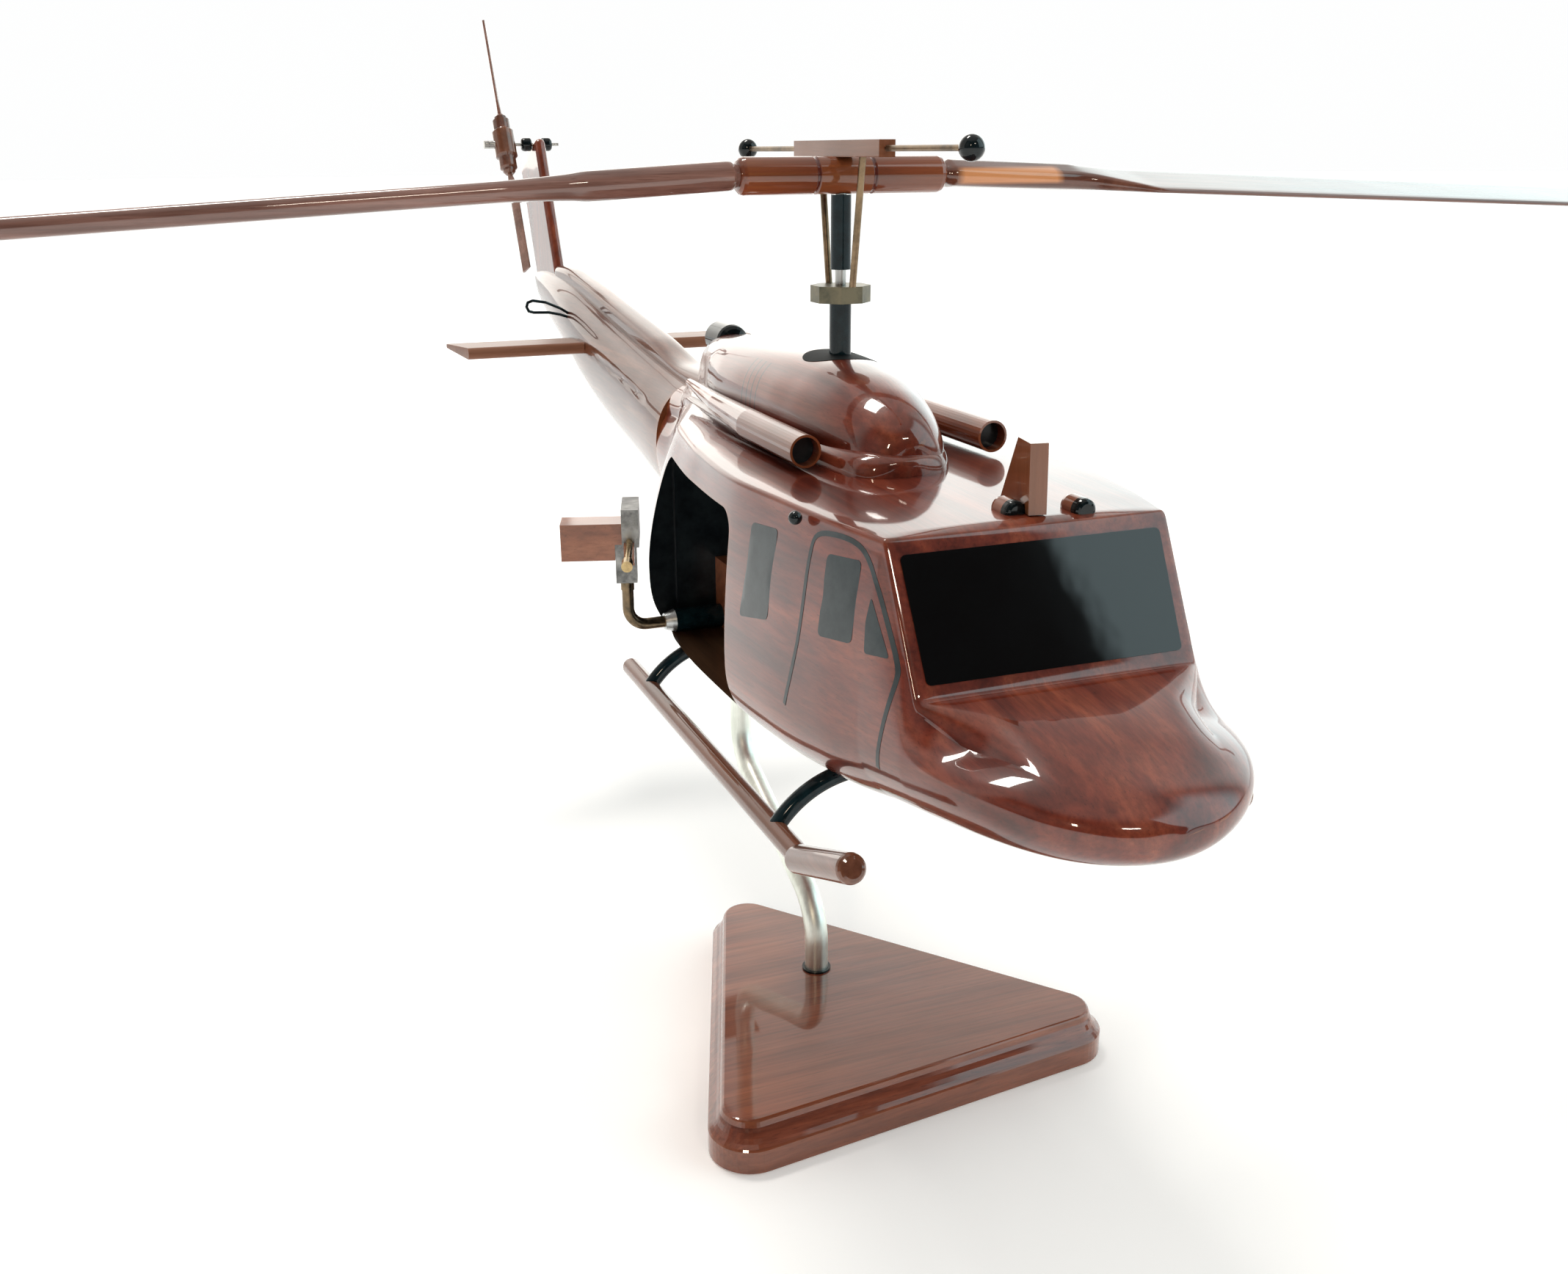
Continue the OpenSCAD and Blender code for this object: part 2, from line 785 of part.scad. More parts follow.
module tail_boom() {
    color(wood) carved() difference() {
        loft(boom_rows);
        fin_solid();
        both_sides() boom_groove();
        antenna_wire(0.02);
    }
}

// A carved line along the boom's side
module boom_groove() {
    for (i = [0 : 5])
        let(y0 = 112 + 15 * i, y1 = y0 + 15)
        hull()
            for (y = [y0, y1])
                let(w = row_at(boom_rows, y)[1])
                translate([w + 0.1, y, 147.5 + (y - 112) * 0.08]) rotate([0, 90, 0]) cylinder(d = 1, h = 1.1, center = true, $fn = 12);
}

module drive_shaft_cover() {
    color(wood) carved() difference() {
        loft(drive_rows);
        loft(boom_rows);
        loft(sill_rows);
        loft(cowling_rows);
        fin_solid();
        fuselage_block();
    }
}

fin_foot = [267, 168];
fin_tip = [293.5, 221];

// The fin, round in front and thinner behind
module fin_solid() {
    hull() {
        for (p = [[fin_foot[0] + fin_t / 2, fin_foot[1]], [fin_tip[0] + 0.5, fin_tip[1] - 1.5]])
            translate([0, p[0], p[1]]) sphere(d = fin_t, $fn = 24);
        for (p = [[304, 167], [303, 172], [322, 214], [324.5, 209]])
            translate([0, p[0], p[1]]) sphere(d = 2.6, $fn = 16);
    }
}

module tail_fin() {
    color(wood) difference() {
        fin_solid();
        translate([-5, tail_axle_y, tail_axle_z]) rotate([0, 90, 0]) cylinder(d = 1.8, h = 10);
    }
}

// One stabilizer, port side: a plate with a round leading edge, cut square at the tip
module stabilizer_plate() {
    hull() {
        translate([6, 194, 153.4]) rotate([0, 90, 0]) cylinder(d = 3.8, h = 44, $fn = 32);
        translate([6, 218, 153.4]) rotate([0, 90, 0]) cylinder(d = 1.4, h = 47, $fn = 20);
    }
}

module stabilizer_port() {
    color(wood) carved() difference() {
        stabilizer_plate();
        loft(boom_rows);
    }
}

module stabilizer_starboard() {
    mirror([1, 0, 0]) stabilizer_port();
}

wire_d = 1;
// The wire's run from the boom's side, out and back, as [x, z]
wire_run = [[-7, 161], [-12, 164.2], [-17, 166.4], [-21.6, 167.2], [-23.4, 166.6], [-23.9, 165.1],
    [-23.2, 163.6], [-21.4, 163.1], [-16, 162.9], [-12, 162], [-7, 160.2]];

// A loop of wire that stands out of the boom's starboard side
module antenna_wire(grow = 0) {
    for (i = [0 : len(wire_run) - 2])
        hull()
            for (p = [wire_run[i], wire_run[i + 1]])
                translate([p[0], 221, p[1]]) sphere(d = wire_d + 2 * grow, $fn = 12);
}

module loop_antenna() {
    color(black) carved() antenna_wire();
}

module tail_rotor_beads() {
    color(black)
        both_sides()
            translate([fin_t / 2 - 0.05, tail_axle_y, tail_axle_z])
                rotate([0, 90, 0])
                    difference() {
                        dowel(5, 4, 0.6, 1.2);
                        translate([0, 0, -1]) cylinder(d = tail_pin_d + 2 * run, h = 6);
                    }
}

module tail_rotor_axle() {
    color(metal)
        translate([-20.4, tail_axle_y, tail_axle_z])
            rotate([0, 90, 0]) {
                cylinder(d = 3, h = 4.4);
                translate([0, 0, 4.4]) cylinder(d = tail_pin_d, h = 24.8);
            }
}

// Places children on the tail rotor, with +Z along the upper blade
module on_tail_rotor() {
    translate([tail_x, tail_axle_y, tail_axle_z])
        rotate([-tail_rotor_turn, 0, 0])
            children();
}

module tail_rotor_hub() {
    color(brass)
        on_tail_rotor()
            difference() {
                rotate_extrude($fn = cyl_fn)
                    polygon([[0, -12.5], [1.6, -12.5], [2.4, -11.5], [2.4, -10.6], [3.3, -10], [3.3, -6], [4.2, -5],
                        [4.2, 5], [3.3, 6], [3.3, 10], [2.4, 10.6], [2.4, 11.5], [1.6, 12.5], [0, 12.5]]);
                rotate([0, 90, 0]) translate([0, 0, -6]) cylinder(d = tail_pin_d, h = 12);
                rotate([0, 90, 0]) translate([0, 0, -8.1]) cylinder(d = 3, h = 4.4);
            }
}

module tail_rotor_blades() {
    color(wood)
        on_tail_rotor()
            for (s = [0, 180])
                rotate([s, 0, 0])
                    hull() {
                        translate([0, 0, 12.5]) cylinder(d = 1.6, h = 0.5, $fn = 24);
                        for (z = [18, tail_rotor_r - 2.5])
                            translate([0, 0, z]) rotate([0, 0, -21]) {
                                translate([0, -1.5, 0]) cylinder(d = 1, h = 2, $fn = 24);
                                translate([0, 3, 0]) cylinder(d = 0.5, h = 2, $fn = 24);
                            }
                    }
}

// ---------------------------------------------------------------- main rotor

module rotor_mast() {
    color(metal)
        translate([0, 0, bush_z + 2.3]) cylinder(d = mast_d, h = hub_z + 3 - bush_z - 2.3);
}

module sleeve(z0, z1, d) {
    translate([0, 0, z0])
        difference() {
            cylinder(d = d, h = z1 - z0, $fn = cyl_fn);
            translate([0, 0, -1]) cylinder(d = mast_d, h = z1 - z0 + 2);
        }
}

module lower_sleeve() {
    color(black) sleeve(deck_z + 0.3, block_z - block_t / 2, lower_sleeve_d);
}

module upper_sleeve() {
    color(black) sleeve(sleeve_bottom_z, hub_z - 3.95, sleeve_d);
}

module swash_block() {
    color(brass)
        translate([0, 0, block_z - block_t / 2])
            difference() {
                rotate([0, 0, 22.5]) cylinder(d = 13.2, h = block_t, $fn = 8);
                translate([0, 0, -1]) cylinder(d = mast_d, h = block_t + 2);
            }
}

module pitch_links() {
    color(brass)
        for (s = [-1, 1])
            intersection() {
                bar([0, s * 5.8, block_z - 2], [0, s * 11.3, bar_z], 1.5);
                translate([-5, -20, block_z + block_t / 2]) cube([10, 40, bar_z - 1.7 - block_z - block_t / 2]);
            }
}

module rotor_hub() {
    color(wood)
        translate([0, 0, hub_z])
            difference() {
                translate([-hub_half, 0, 0])
                    rotate([0, 90, 0])
                        rotate_extrude($fn = cyl_fn)
                            polygon(concat([[0, 0]], round_end(hub_d / 2, 1.6, 0, -1),
                                hub_ring(hub_half - 7), hub_ring(hub_half + 6),
                                round_end(hub_d / 2, 1.6, 2 * hub_half, 1), [[0, 2 * hub_half]]));
                translate([0, 0, -6]) cylinder(d = mast_d, h = 9);
                translate([-1.8, -6, bar_z - 1.7 - hub_z]) cube([3.6, 12, 6]);
            }
}

// A fine turned groove in the hub
function hub_ring(z) = [[hub_d / 2, z], [hub_d / 2 - 0.35, z + 0.3], [hub_d / 2 - 0.35, z + 0.7], [hub_d / 2, z + 1]];

block_half = 22.8;

module stabilizer_block() {
    color(wood)
        translate([-1.8, -block_half, bar_z - 1.7]) cube([3.6, 2 * block_half, 3.4]);
}

module stabilizer_rods() {
    color(brass)
        for (s = [-1, 1])
            translate([0, s * block_half, bar_z])
                rotate([-90 * s, 0, 0]) cylinder(d = 1.2, h = bar_half - weight_d / 2 + 0.2 - block_half);
}

module bar_weights() {
    color(black)
        for (s = [-1, 1])
            difference() {
                translate([0, s * bar_half, bar_z]) sphere(d = weight_d);
                translate([0, s * block_half, bar_z])
                    rotate([-90 * s, 0, 0]) cylinder(d = 1.2, h = bar_half - weight_d / 2 + 0.2 - block_half);
            }
}

// A slice of a blade at distance x: nose and tail circles on the chord line
module slice(x, nose_d, nose_y, tail_d, tail_y) {
    for (p = [[nose_y, nose_d], [tail_y, tail_d]])
        translate([-x, p[0], 0]) rotate([0, 90, 0]) cylinder(d = p[1], h = 0.2, $fn = 28);
}

nose = -blade_chord * 0.27;
// Slices from the shank, over the curved shoulder, to the tip
blade_slices = [
    [25, 4.2, -0.6, 3.2, 0.6], [28, 5.6, -1.3, 4, 1.6], [56, 5.6, -1.6, 3.8, 2.2],
    [60, 5.2, -1.8, 3.6, 3.2], [64.5, 4.7, -2.1, 2.8, 6], [69, 4.3, -2.4, 1.9, 9],
    [74, 4.1, nose + 2.1, 1, nose + blade_chord - 0.5],
    [rotor_r - 1.5, 3.9, nose + 2.1, 0.9, nose + blade_chord - 0.5],
    [rotor_r - 0.2, 2.6, nose + 2.4, 0.6, nose + blade_chord - 1.4]
];

module main_blade(droop) {
    carved()
        translate([0, 0, hub_z])
            difference() {
                translate([-hub_half, 0, 0])
                    rotate([0, -droop, 0])
                        translate([hub_half, 0, 0])
                            rotate([-blade_pitch, 0, 0])
                                union() {
                                    for (i = [0 : len(blade_slices) - 2])
                                        hull()
                                            for (s = [blade_slices[i], blade_slices[i + 1]])
                                                slice(s[0], s[1], s[2], s[3], s[4]);
                                    translate([-26, 0, 0]) rotate([0, 90, 0]) cylinder(d = 3.6, h = 4, $fn = 32);
                                }
                translate([-hub_half, -10, -10]) cube([20, 20, 20]);
            }
}

module main_blade_a() {
    color(wood) main_blade(blade_droop + 0.5);
}

module main_blade_b() {
    color(wood) rotate([0, 0, 180]) main_blade(blade_droop - 0.4);
}

// ---------------------------------------------------------------- skids

front_leg_y = -62.5;
rear_leg_y = 22;
leg_d = 3.5;
leg_r = 21.8;
leg_x = 22;
leg_z = 103;
leg_turn = 58;
skid_back = 40.5;
skid_front = -76;
toe_end = [-99, 101.9];
toe_rise = 21.5;

module skid_bar() {
    translate([skid_half, skid_front, skid_z])
        rotate([-90, 0, 0]) dowel(skid_d, skid_back - skid_front, 0, 1.6);
}

module toe_bar() {
    len = norm([toe_end[0] - skid_front, toe_end[1] - skid_z]) + 2;
    translate([skid_half, skid_front, skid_z])
        rotate([90 - toe_rise, 0, 0])
            translate([0, 0, -2]) dowel(toe_d, len, 0.4, 1.1);
}

// Half of a cross tube's middle line as [x, z] points, from the middle out to the skid
leg_line = [for (a = [0 : leg_turn / 9 : leg_turn + 1])
    [leg_x + leg_r * sin(a), leg_z - leg_r + leg_r * cos(a)]];

module cross_tube(y, grow = 0) {
    line = concat(
        [for (i = [len(leg_line) - 1 : -1 : 0]) [-leg_line[i][0], leg_line[i][1]]],
        leg_line
    );
    translate([0, y, 0]) rotate([0, 0, -90]) bent_tube(line, leg_d + 2 * grow);
}

module skid_tubes() {
    color(wood)
        both_sides()
            difference() {
                skid_bar();
                toe_bar();
            }
}

module skid_toes() {
    color(wood) both_sides() toe_bar();
}

module front_cross_tube() {
    color(black)
        carved() difference() {
            cross_tube(front_leg_y);
            both_sides() skid_bar();
        }
}

module rear_cross_tube() {
    color(black)
        carved() difference() {
            cross_tube(rear_leg_y);
            both_sides() skid_bar();
        }
}

// ---------------------------------------------------------------- door guns

post_d = 2.8;
post_r = 4.5;
post_top = 119.1;
pin_d = 1.8;
pin_top = 126;
gun_foot = post_top + 0.3;

// The bent post, port side: out of the cross tube, up, then a collar and the pin the gun turns on
module gun_post() {
    translate([tube_half + 2.5, gun_y, gun_tube_z])
        rotate([0, 90, 0]) cylinder(d = post_d, h = gun_x - post_r - tube_half - 2.5);
    translate([gun_x - post_r, gun_y, gun_tube_z + post_r])
        rotate([90, 0, 0])
            rotate([0, 0, -90])
                rotate_extrude(angle = 90, $fn = 96) translate([post_r, 0]) circle(d = post_d);
    translate([gun_x, gun_y, gun_tube_z + post_r]) cylinder(d = post_d, h = post_top - 2 - gun_tube_z - post_r);
    translate([gun_x, gun_y, post_top - 2]) cylinder(d = 3.2, h = 2);
    translate([gun_x, gun_y, post_top]) cylinder(d = pin_d, h = pin_top - post_top);
}

module gun_posts() {
    color(brass) both_sides() gun_post();
}

// Places children on the port gun: origin at its foot, -Y along the barrel
module on_gun() {
    translate([gun_x, gun_y, gun_foot])
        rotate([0, 0, gun_yaw])
            children();
}

gun_w = 5;
body_half = 7;
body_z = 9.8;

module gun_body() {
    on_gun() {
        difference() {
            translate([-gun_w / 2, -2.7, 0]) cube([gun_w, 5.4, body_z]);
            translate([0, 0, -1]) cylinder(d = pin_d + 2 * run, h = pin_top + 1.3 - gun_foot);
        }
        translate([-3.3, -body_half, body_z]) cube([4, 2 * body_half, 9]);
    }
}

barrel_z = body_z + 1.2;

module gun_barrel() {
    on_gun()
        translate([-1, -body_half, barrel_z])
            rotate([90, 0, 0]) {
                cylinder(d = 1.8, h = 17);
                translate([0, 0, 17]) cylinder(d = 2.5, h = 4);
            }
}

module gun_foregrip() {
    on_gun()
        translate([-2.2, -body_half - 4, barrel_z - 4.4])
            difference() {
                cube([2.4, 4, 4.4]);
                translate([1.2, 5, 4.4]) rotate([90, 0, 0]) cylinder(d = 1.8, h = 6);
            }
}

module gun_box() {
    on_gun()
        difference() {
            translate([0.7, -4, body_z - 3.8]) cube([14.4, 8, 8.8]);
            translate([-1, -5, body_z - 5]) cube([1 + gun_w / 2, 10, 5]);
        }
}

module gun_port() {
    color(black) gun_body();
}

module gun_starboard() {
    mirror([1, 0, 0]) gun_port();
}

module barrel_port() {
    color(brass) gun_barrel();
}

module barrel_starboard() {
    mirror([1, 0, 0]) barrel_port();
}

module foregrip_port() {
    color(wood_light) gun_foregrip();
}

module foregrip_starboard() {
    mirror([1, 0, 0]) foregrip_port();
}

module ammo_box_port() {
    color(wood_light) gun_box();
}

module ammo_box_starboard() {
    mirror([1, 0, 0]) ammo_box_port();
}

stand_base();
stand_rod();
rod_ring();
rod_socket();
fuselage();
windshield();
side_windows();
door_lines();
cabin_liner();
rear_bench();
seat_backs();
gun_cross_tube();
gun_tube_collars();
cowling_sill();
engine_cowling();
intake_ducts();
intake_throats();
exhaust_nozzle();
mast_disc();
mast_bush();
blade_antenna();
ram_vents();
vent_caps();
position_light();
tail_boom();
drive_shaft_cover();
stabilizer_starboard();
stabilizer_port();
tail_fin();
loop_antenna();
tail_rotor_beads();
tail_rotor_axle();
tail_rotor_hub();
tail_rotor_blades();
rotor_mast();
lower_sleeve();
swash_block();
pitch_links();
upper_sleeve();
rotor_hub();
main_blade_a();
main_blade_b();
stabilizer_block();
stabilizer_rods();
bar_weights();
skid_tubes();
skid_toes();
front_cross_tube();
rear_cross_tube();
gun_posts();
gun_starboard();
gun_port();
barrel_starboard();
barrel_port();
foregrip_starboard();
foregrip_port();
ammo_box_starboard();
ammo_box_port();
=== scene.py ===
import math

import bmesh
import bpy
import numpy as np
from mathutils import Matrix, Vector
from mathutils.geometry import delaunay_2d_cdt


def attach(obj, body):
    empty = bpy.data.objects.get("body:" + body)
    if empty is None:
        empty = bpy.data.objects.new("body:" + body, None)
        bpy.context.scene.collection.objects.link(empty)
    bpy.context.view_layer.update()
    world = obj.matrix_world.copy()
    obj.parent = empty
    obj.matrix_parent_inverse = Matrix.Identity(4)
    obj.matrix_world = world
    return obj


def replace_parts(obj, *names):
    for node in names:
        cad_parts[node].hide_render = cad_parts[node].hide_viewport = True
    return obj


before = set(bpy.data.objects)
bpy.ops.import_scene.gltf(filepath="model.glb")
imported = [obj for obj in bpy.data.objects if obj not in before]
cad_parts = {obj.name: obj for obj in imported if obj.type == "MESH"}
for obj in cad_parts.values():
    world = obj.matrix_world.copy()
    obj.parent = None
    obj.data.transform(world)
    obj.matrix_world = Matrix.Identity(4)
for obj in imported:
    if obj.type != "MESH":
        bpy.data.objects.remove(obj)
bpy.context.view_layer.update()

MM = 0.001

# ------------------------------------------------------------------ shapes


def pchip(x, y, t):
    """Smooth interpolation that never overshoots its rows."""
    x, y, t = (np.asarray(v, float) for v in (x, y, t))
    h, d = np.diff(x), np.diff(y) / np.diff(x)
    m = np.zeros(len(x))
    for i in range(1, len(x) - 1):
        if d[i - 1] * d[i] > 0:
            w1, w2 = 2 * h[i] + h[i - 1], h[i] + 2 * h[i - 1]
            m[i] = (w1 + w2) / (w1 / d[i - 1] + w2 / d[i])
    m[0], m[-1] = d[0], d[-1]
    i = np.clip(np.searchsorted(x, t) - 1, 0, len(h) - 1)
    u = (t - x[i]) / h[i]
    return (
        (2 * u**3 - 3 * u**2 + 1) * y[i]
        + (u**3 - 2 * u**2 + u) * h[i] * m[i]
        + (-2 * u**3 + 3 * u**2) * y[i + 1]
        + (u**3 - u**2) * h[i] * m[i + 1]
    )


def smooth_rows(rows, step, use=(0, 1, 2, 4)):
    """Rows resampled along their own length, so that blunt ends come out round."""
    p = np.array(rows, float)
    s = np.concatenate([[0], np.cumsum(np.linalg.norm(np.diff(p[:, use], axis=0), axis=1))])
    n = max(3, int(s[-1] / step) + 1)
    t = np.linspace(0, s[-1], n)
    return np.column_stack([pchip(s, p[:, k], t) for k in range(p.shape[1])])


def link_object(name, data):
    ob = bpy.data.objects.new(name, data)
    bpy.context.scene.collection.objects.link(ob)
    return ob


def new_piece(name, verts, faces, body, mats, angle=30):
    """A smooth-shaded mesh that rides on body, or on nothing yet if body is None."""
    me = bpy.data.meshes.new(name)
    me.from_pydata([tuple(v) for v in verts], [], faces)
    bm = bmesh.new()
    bm.from_mesh(me)
    bmesh.ops.recalc_face_normals(bm, faces=bm.faces)
    bm.to_mesh(me)
    bm.free()
    ob = link_object(name, me)
    for m in mats:
        me.materials.append(m)
    shade(ob, angle)
    if body:
        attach(ob, body)
    return ob


def shade(ob, angle):
    """Smooth shading, with edges sharper than angle left hard."""
    me = ob.data
    me.polygons.foreach_set("use_smooth", [True] * len(me.polygons))
    me.set_sharp_from_angle(angle=math.radians(angle))
    me.update()


def skin(rings, close_ends=True):
    """Vertices and faces of a closed skin over rings of equally many points."""
    n, k = len(rings), len(rings[0])
    verts = [p for r in rings for p in r]
    faces = []
    for i in range(n - 1):
        for j in range(k):
            a, b = i * k + j, i * k + (j + 1) % k
            faces.append((a, b, b + k, a + k))
    if close_ends:
        for base, ring in ((0, rings[0]), ((n - 1) * k, rings[-1])):
            c = len(verts)
            verts.append(tuple(np.mean(np.array(ring), axis=0)))
            for j in range(k):
                f = (c, base + j, base + (j + 1) % k)
                faces.append(f if base else f[::-1])
    return verts, faces


def apply_modifiers(ob):
    """Replaces the mesh by what its modifiers make of it."""
    bpy.context.view_layer.update()
    dg = bpy.context.evaluated_depsgraph_get()
    me = bpy.data.meshes.new_from_object(ob.evaluated_get(dg))
    old = ob.data
    ob.modifiers.clear()
    ob.data = me
    bpy.data.meshes.remove(old)


def cut(ob, cutter):
    """Takes the cutter's shape out of ob, and removes the cutter."""
    m = ob.modifiers.new("cut", "BOOLEAN")
    m.operation = "DIFFERENCE"
    m.solver = "EXACT"
    m.object = cutter
    apply_modifiers(ob)
    me = cutter.data
    bpy.data.objects.remove(cutter)
    bpy.data.meshes.remove(me)


def spow(v, e):
    """A power that keeps the sign."""
    return math.copysign(abs(v) ** e, v)


def oval_rings(rows, sides):
    """Rings of rows [y, half width, bottom, middle, top, squareness low, squareness up, shift]."""
    out = []
    for y, half, bottom, middle, top, q_low, q_up, *rest in rows:
        shift = rest[0] if rest else 0
        ring = []
        for k in range(sides):
            a = 2 * math.pi * (k + 0.5) / sides
            low = math.sin(a) < 0
            q, h = (q_low, middle - bottom) if low else (q_up, top - middle)
            x = shift + half * spow(math.cos(a), 2 / q)
            z = middle + h * spow(math.sin(a), 2 / q)
            ring.append((x * MM, y * MM, z * MM))
        out.append(ring)
    return out


def swept(line, d, sides):
    """A bent tube of diameter d round a line of 3D points in mm."""
    p = [Vector(q) for q in line]
    rings = []
    up = (p[1] - p[0]).normalized().orthogonal().normalized()
    for i, q in enumerate(p):
        t = (p[min(i + 1, len(p) - 1)] - p[max(i - 1, 0)]).normalized()
        up = (up - up.dot(t) * t).normalized()
        side = t.cross(up)
        angles = [2 * math.pi * k / sides for k in range(sides)]
        rings.append([tuple((q + (up * math.cos(a) + side * math.sin(a)) * d / 2) * MM) for a in angles])
    return skin(rings)


# ------------------------------------------------------------------ materials


def material(name):
    m = bpy.data.materials.new(name)
    m.use_nodes = True
    return m, m.node_tree, m.node_tree.nodes["Principled BSDF"]


def set_inputs(n, values):
    for k, v in values.items():
        n.inputs[k].default_value = v


def object_coords(nt):
    return nt.nodes.new("ShaderNodeTexCoord").outputs["Object"]


def stretched(nt, coords, scale, location=(0, 0, 0)):
    """Coordinates scaled by a different number along each axis."""
    m = nt.nodes.new("ShaderNodeMapping")
    set_inputs(m, {"Scale": scale, "Location": location})
    nt.links.new(coords, m.inputs["Vector"])
    return m.outputs[0]


def noise(nt, coords, scale, detail, roughness=0.5, distortion=0.0):
    n = nt.nodes.new("ShaderNodeTexNoise")
    set_inputs(n, {"Scale": scale, "Detail": detail, "Roughness": roughness, "Distortion": distortion})
    nt.links.new(coords, n.inputs["Vector"])
    return n.outputs["Fac"]


def bump(nt, height, strength, distance, below=None):
    """Bumps of a height pattern, on top of another bump if below is given."""
    n = nt.nodes.new("ShaderNodeBump")
    set_inputs(n, {"Strength": strength, "Distance": distance})
    nt.links.new(height, n.inputs["Height"])
    if below:
        nt.links.new(below, n.inputs["Normal"])
    return n.outputs[0]


def ramp(nt, source, stops):
    r = nt.nodes.new("ShaderNodeValToRGB")
    while len(r.color_ramp.elements) < len(stops):
        r.color_ramp.elements.new(0.5)
    for e, (pos, col) in zip(r.color_ramp.elements, stops):
        e.position = pos
        e.color = (*col, 1)
    nt.links.new(source, r.inputs[0])
    return r.outputs[0]


def math_node(nt, op, *values, clamp=False):
    m = nt.nodes.new("ShaderNodeMath")
    m.operation = op
    m.use_clamp = clamp
    for i, v in enumerate(values):
        if isinstance(v, (int, float)):
            m.inputs[i].default_value = v
        else:
            nt.links.new(v, m.inputs[i])
    return m.outputs[0]


def mixed(nt, factor, a, b, blend="MIX"):
    m = nt.nodes.new("ShaderNodeMix")
    m.data_type = "RGBA"
    m.blend_type = blend
    for i, v in ((0, factor), (6, a), (7, b)):
        if isinstance(v, (int, float)):
            m.inputs[i].default_value = v
        elif isinstance(v, tuple):
            m.inputs[i].default_value = (*v, 1)
        else:
            nt.links.new(v, m.inputs[i])
    return m.outputs[2]


def wood(
    name,
    dark=(0.070, 0.0095, 0.0055),
    mid=(0.160, 0.028, 0.0145),
    light=(0.275, 0.066, 0.031),
    grain="Y",
    coat=1.0,
    seed=0.0,
    lift=None,
    edge=0.35,
    gloss=0.045,
):
    """Lacquered hardwood whose fibres run along one axis; lift changes the colour before it is used."""
    m, nt, b = material(name)
    coords = object_coords(nt)
    axis = "XYZ".index(grain)
    fine = stretched(nt, coords, [38 if i == axis else 950 for i in range(3)], (seed, seed * 1.7, seed * 0.6))
    broad = stretched(nt, coords, [11 if i == axis else 150 for i in range(3)], (seed * 0.3, seed, seed))
    fibre = noise(nt, fine, 1.0, 5.0, 0.62, 0.25)
    figure = noise(nt, broad, 1.0, 3.0, 0.5, 0.6)
    pores = noise(nt, fine, 3.2, 2.0, 0.7)
    col = ramp(nt, figure, [(0.27, dark), (0.50, mid), (0.76, light)])
    streaks = ramp(nt, fibre, [(0.33, (0.55, 0.50, 0.48)), (0.62, (1.12, 1.1, 1.08))])
    col = mixed(nt, 0.75, col, streaks, "MULTIPLY")
    specks = ramp(nt, pores, [(0.28, (0.35, 0.3, 0.3)), (0.40, (1, 1, 1))])
    col = mixed(nt, 0.6, col, specks, "MULTIPLY")
    if edge:  # paler along convex edges: partly stain worn thin, partly painted highlight where edges catch the light
        wear_and_highlight = nt.nodes.new("ShaderNodeNewGeometry").outputs["Pointiness"]
        wear_and_highlight = ramp(nt, wear_and_highlight, [(0.505, (0, 0, 0)), (0.56, (1, 1, 1))])
        col = mixed(nt, math_node(nt, "MULTIPLY", wear_and_highlight, edge), col, (0.36, 0.12, 0.035))
    if lift:
        col = lift(nt, coords, col)
    nt.links.new(col, b.inputs["Base Color"])
    set_inputs(b, {
        "Roughness": 0.32, "Specular IOR Level": 0.12,
        "Coat Weight": coat, "Coat Roughness": gloss, "Coat IOR": 1.62,
    })
    waves = bump(nt, noise(nt, coords, 60.0, 1.0), 0.14, 0.0006)
    nt.links.new(waves, b.inputs["Coat Normal"])
    nt.links.new(bump(nt, fibre, 0.25, 0.00015, waves), b.inputs["Normal"])
    return m


def paint(name, base, var, rough=0.22, coat=1.0, coat_rough=0.05, waviness=0.12, scale=420.0):
    """Brushed gloss paint with slight streaks of a second colour."""
    m, nt, b = material(name)
    coords = object_coords(nt)
    streaks = noise(nt, coords, scale, 4.0, 0.6)
    nt.links.new(ramp(nt, streaks, [(0.35, base), (0.68, var)]), b.inputs["Base Color"])
    set_inputs(b, {
        "Roughness": rough, "Specular IOR Level": 0.08, "Coat Weight": coat, "Coat Roughness": coat_rough,
    })
    waves = bump(nt, noise(nt, coords, 90.0, 2.0), waviness, 0.0005)
    for socket in ("Normal", "Coat Normal"):
        nt.links.new(waves, b.inputs[socket])
    return m


def metal(name, base, var, rough, grain=None, scale=900.0, graininess=0.15):
    """Metal tarnished towards a second colour, drawn along the grain's axis if it has one."""
    m, nt, b = material(name)
    coords = object_coords(nt)
    drawn = stretched(nt, coords, [0.06 if grain and k == grain else 1.0 for k in "XYZ"])
    fine = noise(nt, drawn, scale, 5.0, 0.65)
    broad = noise(nt, coords, 130.0, 3.0)
    tarnish = math_node(nt, "ADD", *(math_node(nt, "MULTIPLY", v, 0.5) for v in (fine, broad)))
    nt.links.new(ramp(nt, tarnish, [(0.38, var), (0.6, base)]), b.inputs["Base Color"])
    r = nt.nodes.new("ShaderNodeMapRange")
    set_inputs(r, {"To Min": rough[0], "To Max": rough[1]})
    nt.links.new(fine, r.inputs["Value"])
    nt.links.new(r.outputs[0], b.inputs["Roughness"])
    b.inputs["Metallic"].default_value = 1.0
    nt.links.new(bump(nt, fine, graininess, 0.0001), b.inputs["Normal"])
    return m


def axis_of(nt, coords, k):
    sep = nt.nodes.new("ShaderNodeSeparateXYZ")
    nt.links.new(coords, sep.inputs[0])
    return sep.outputs[k]


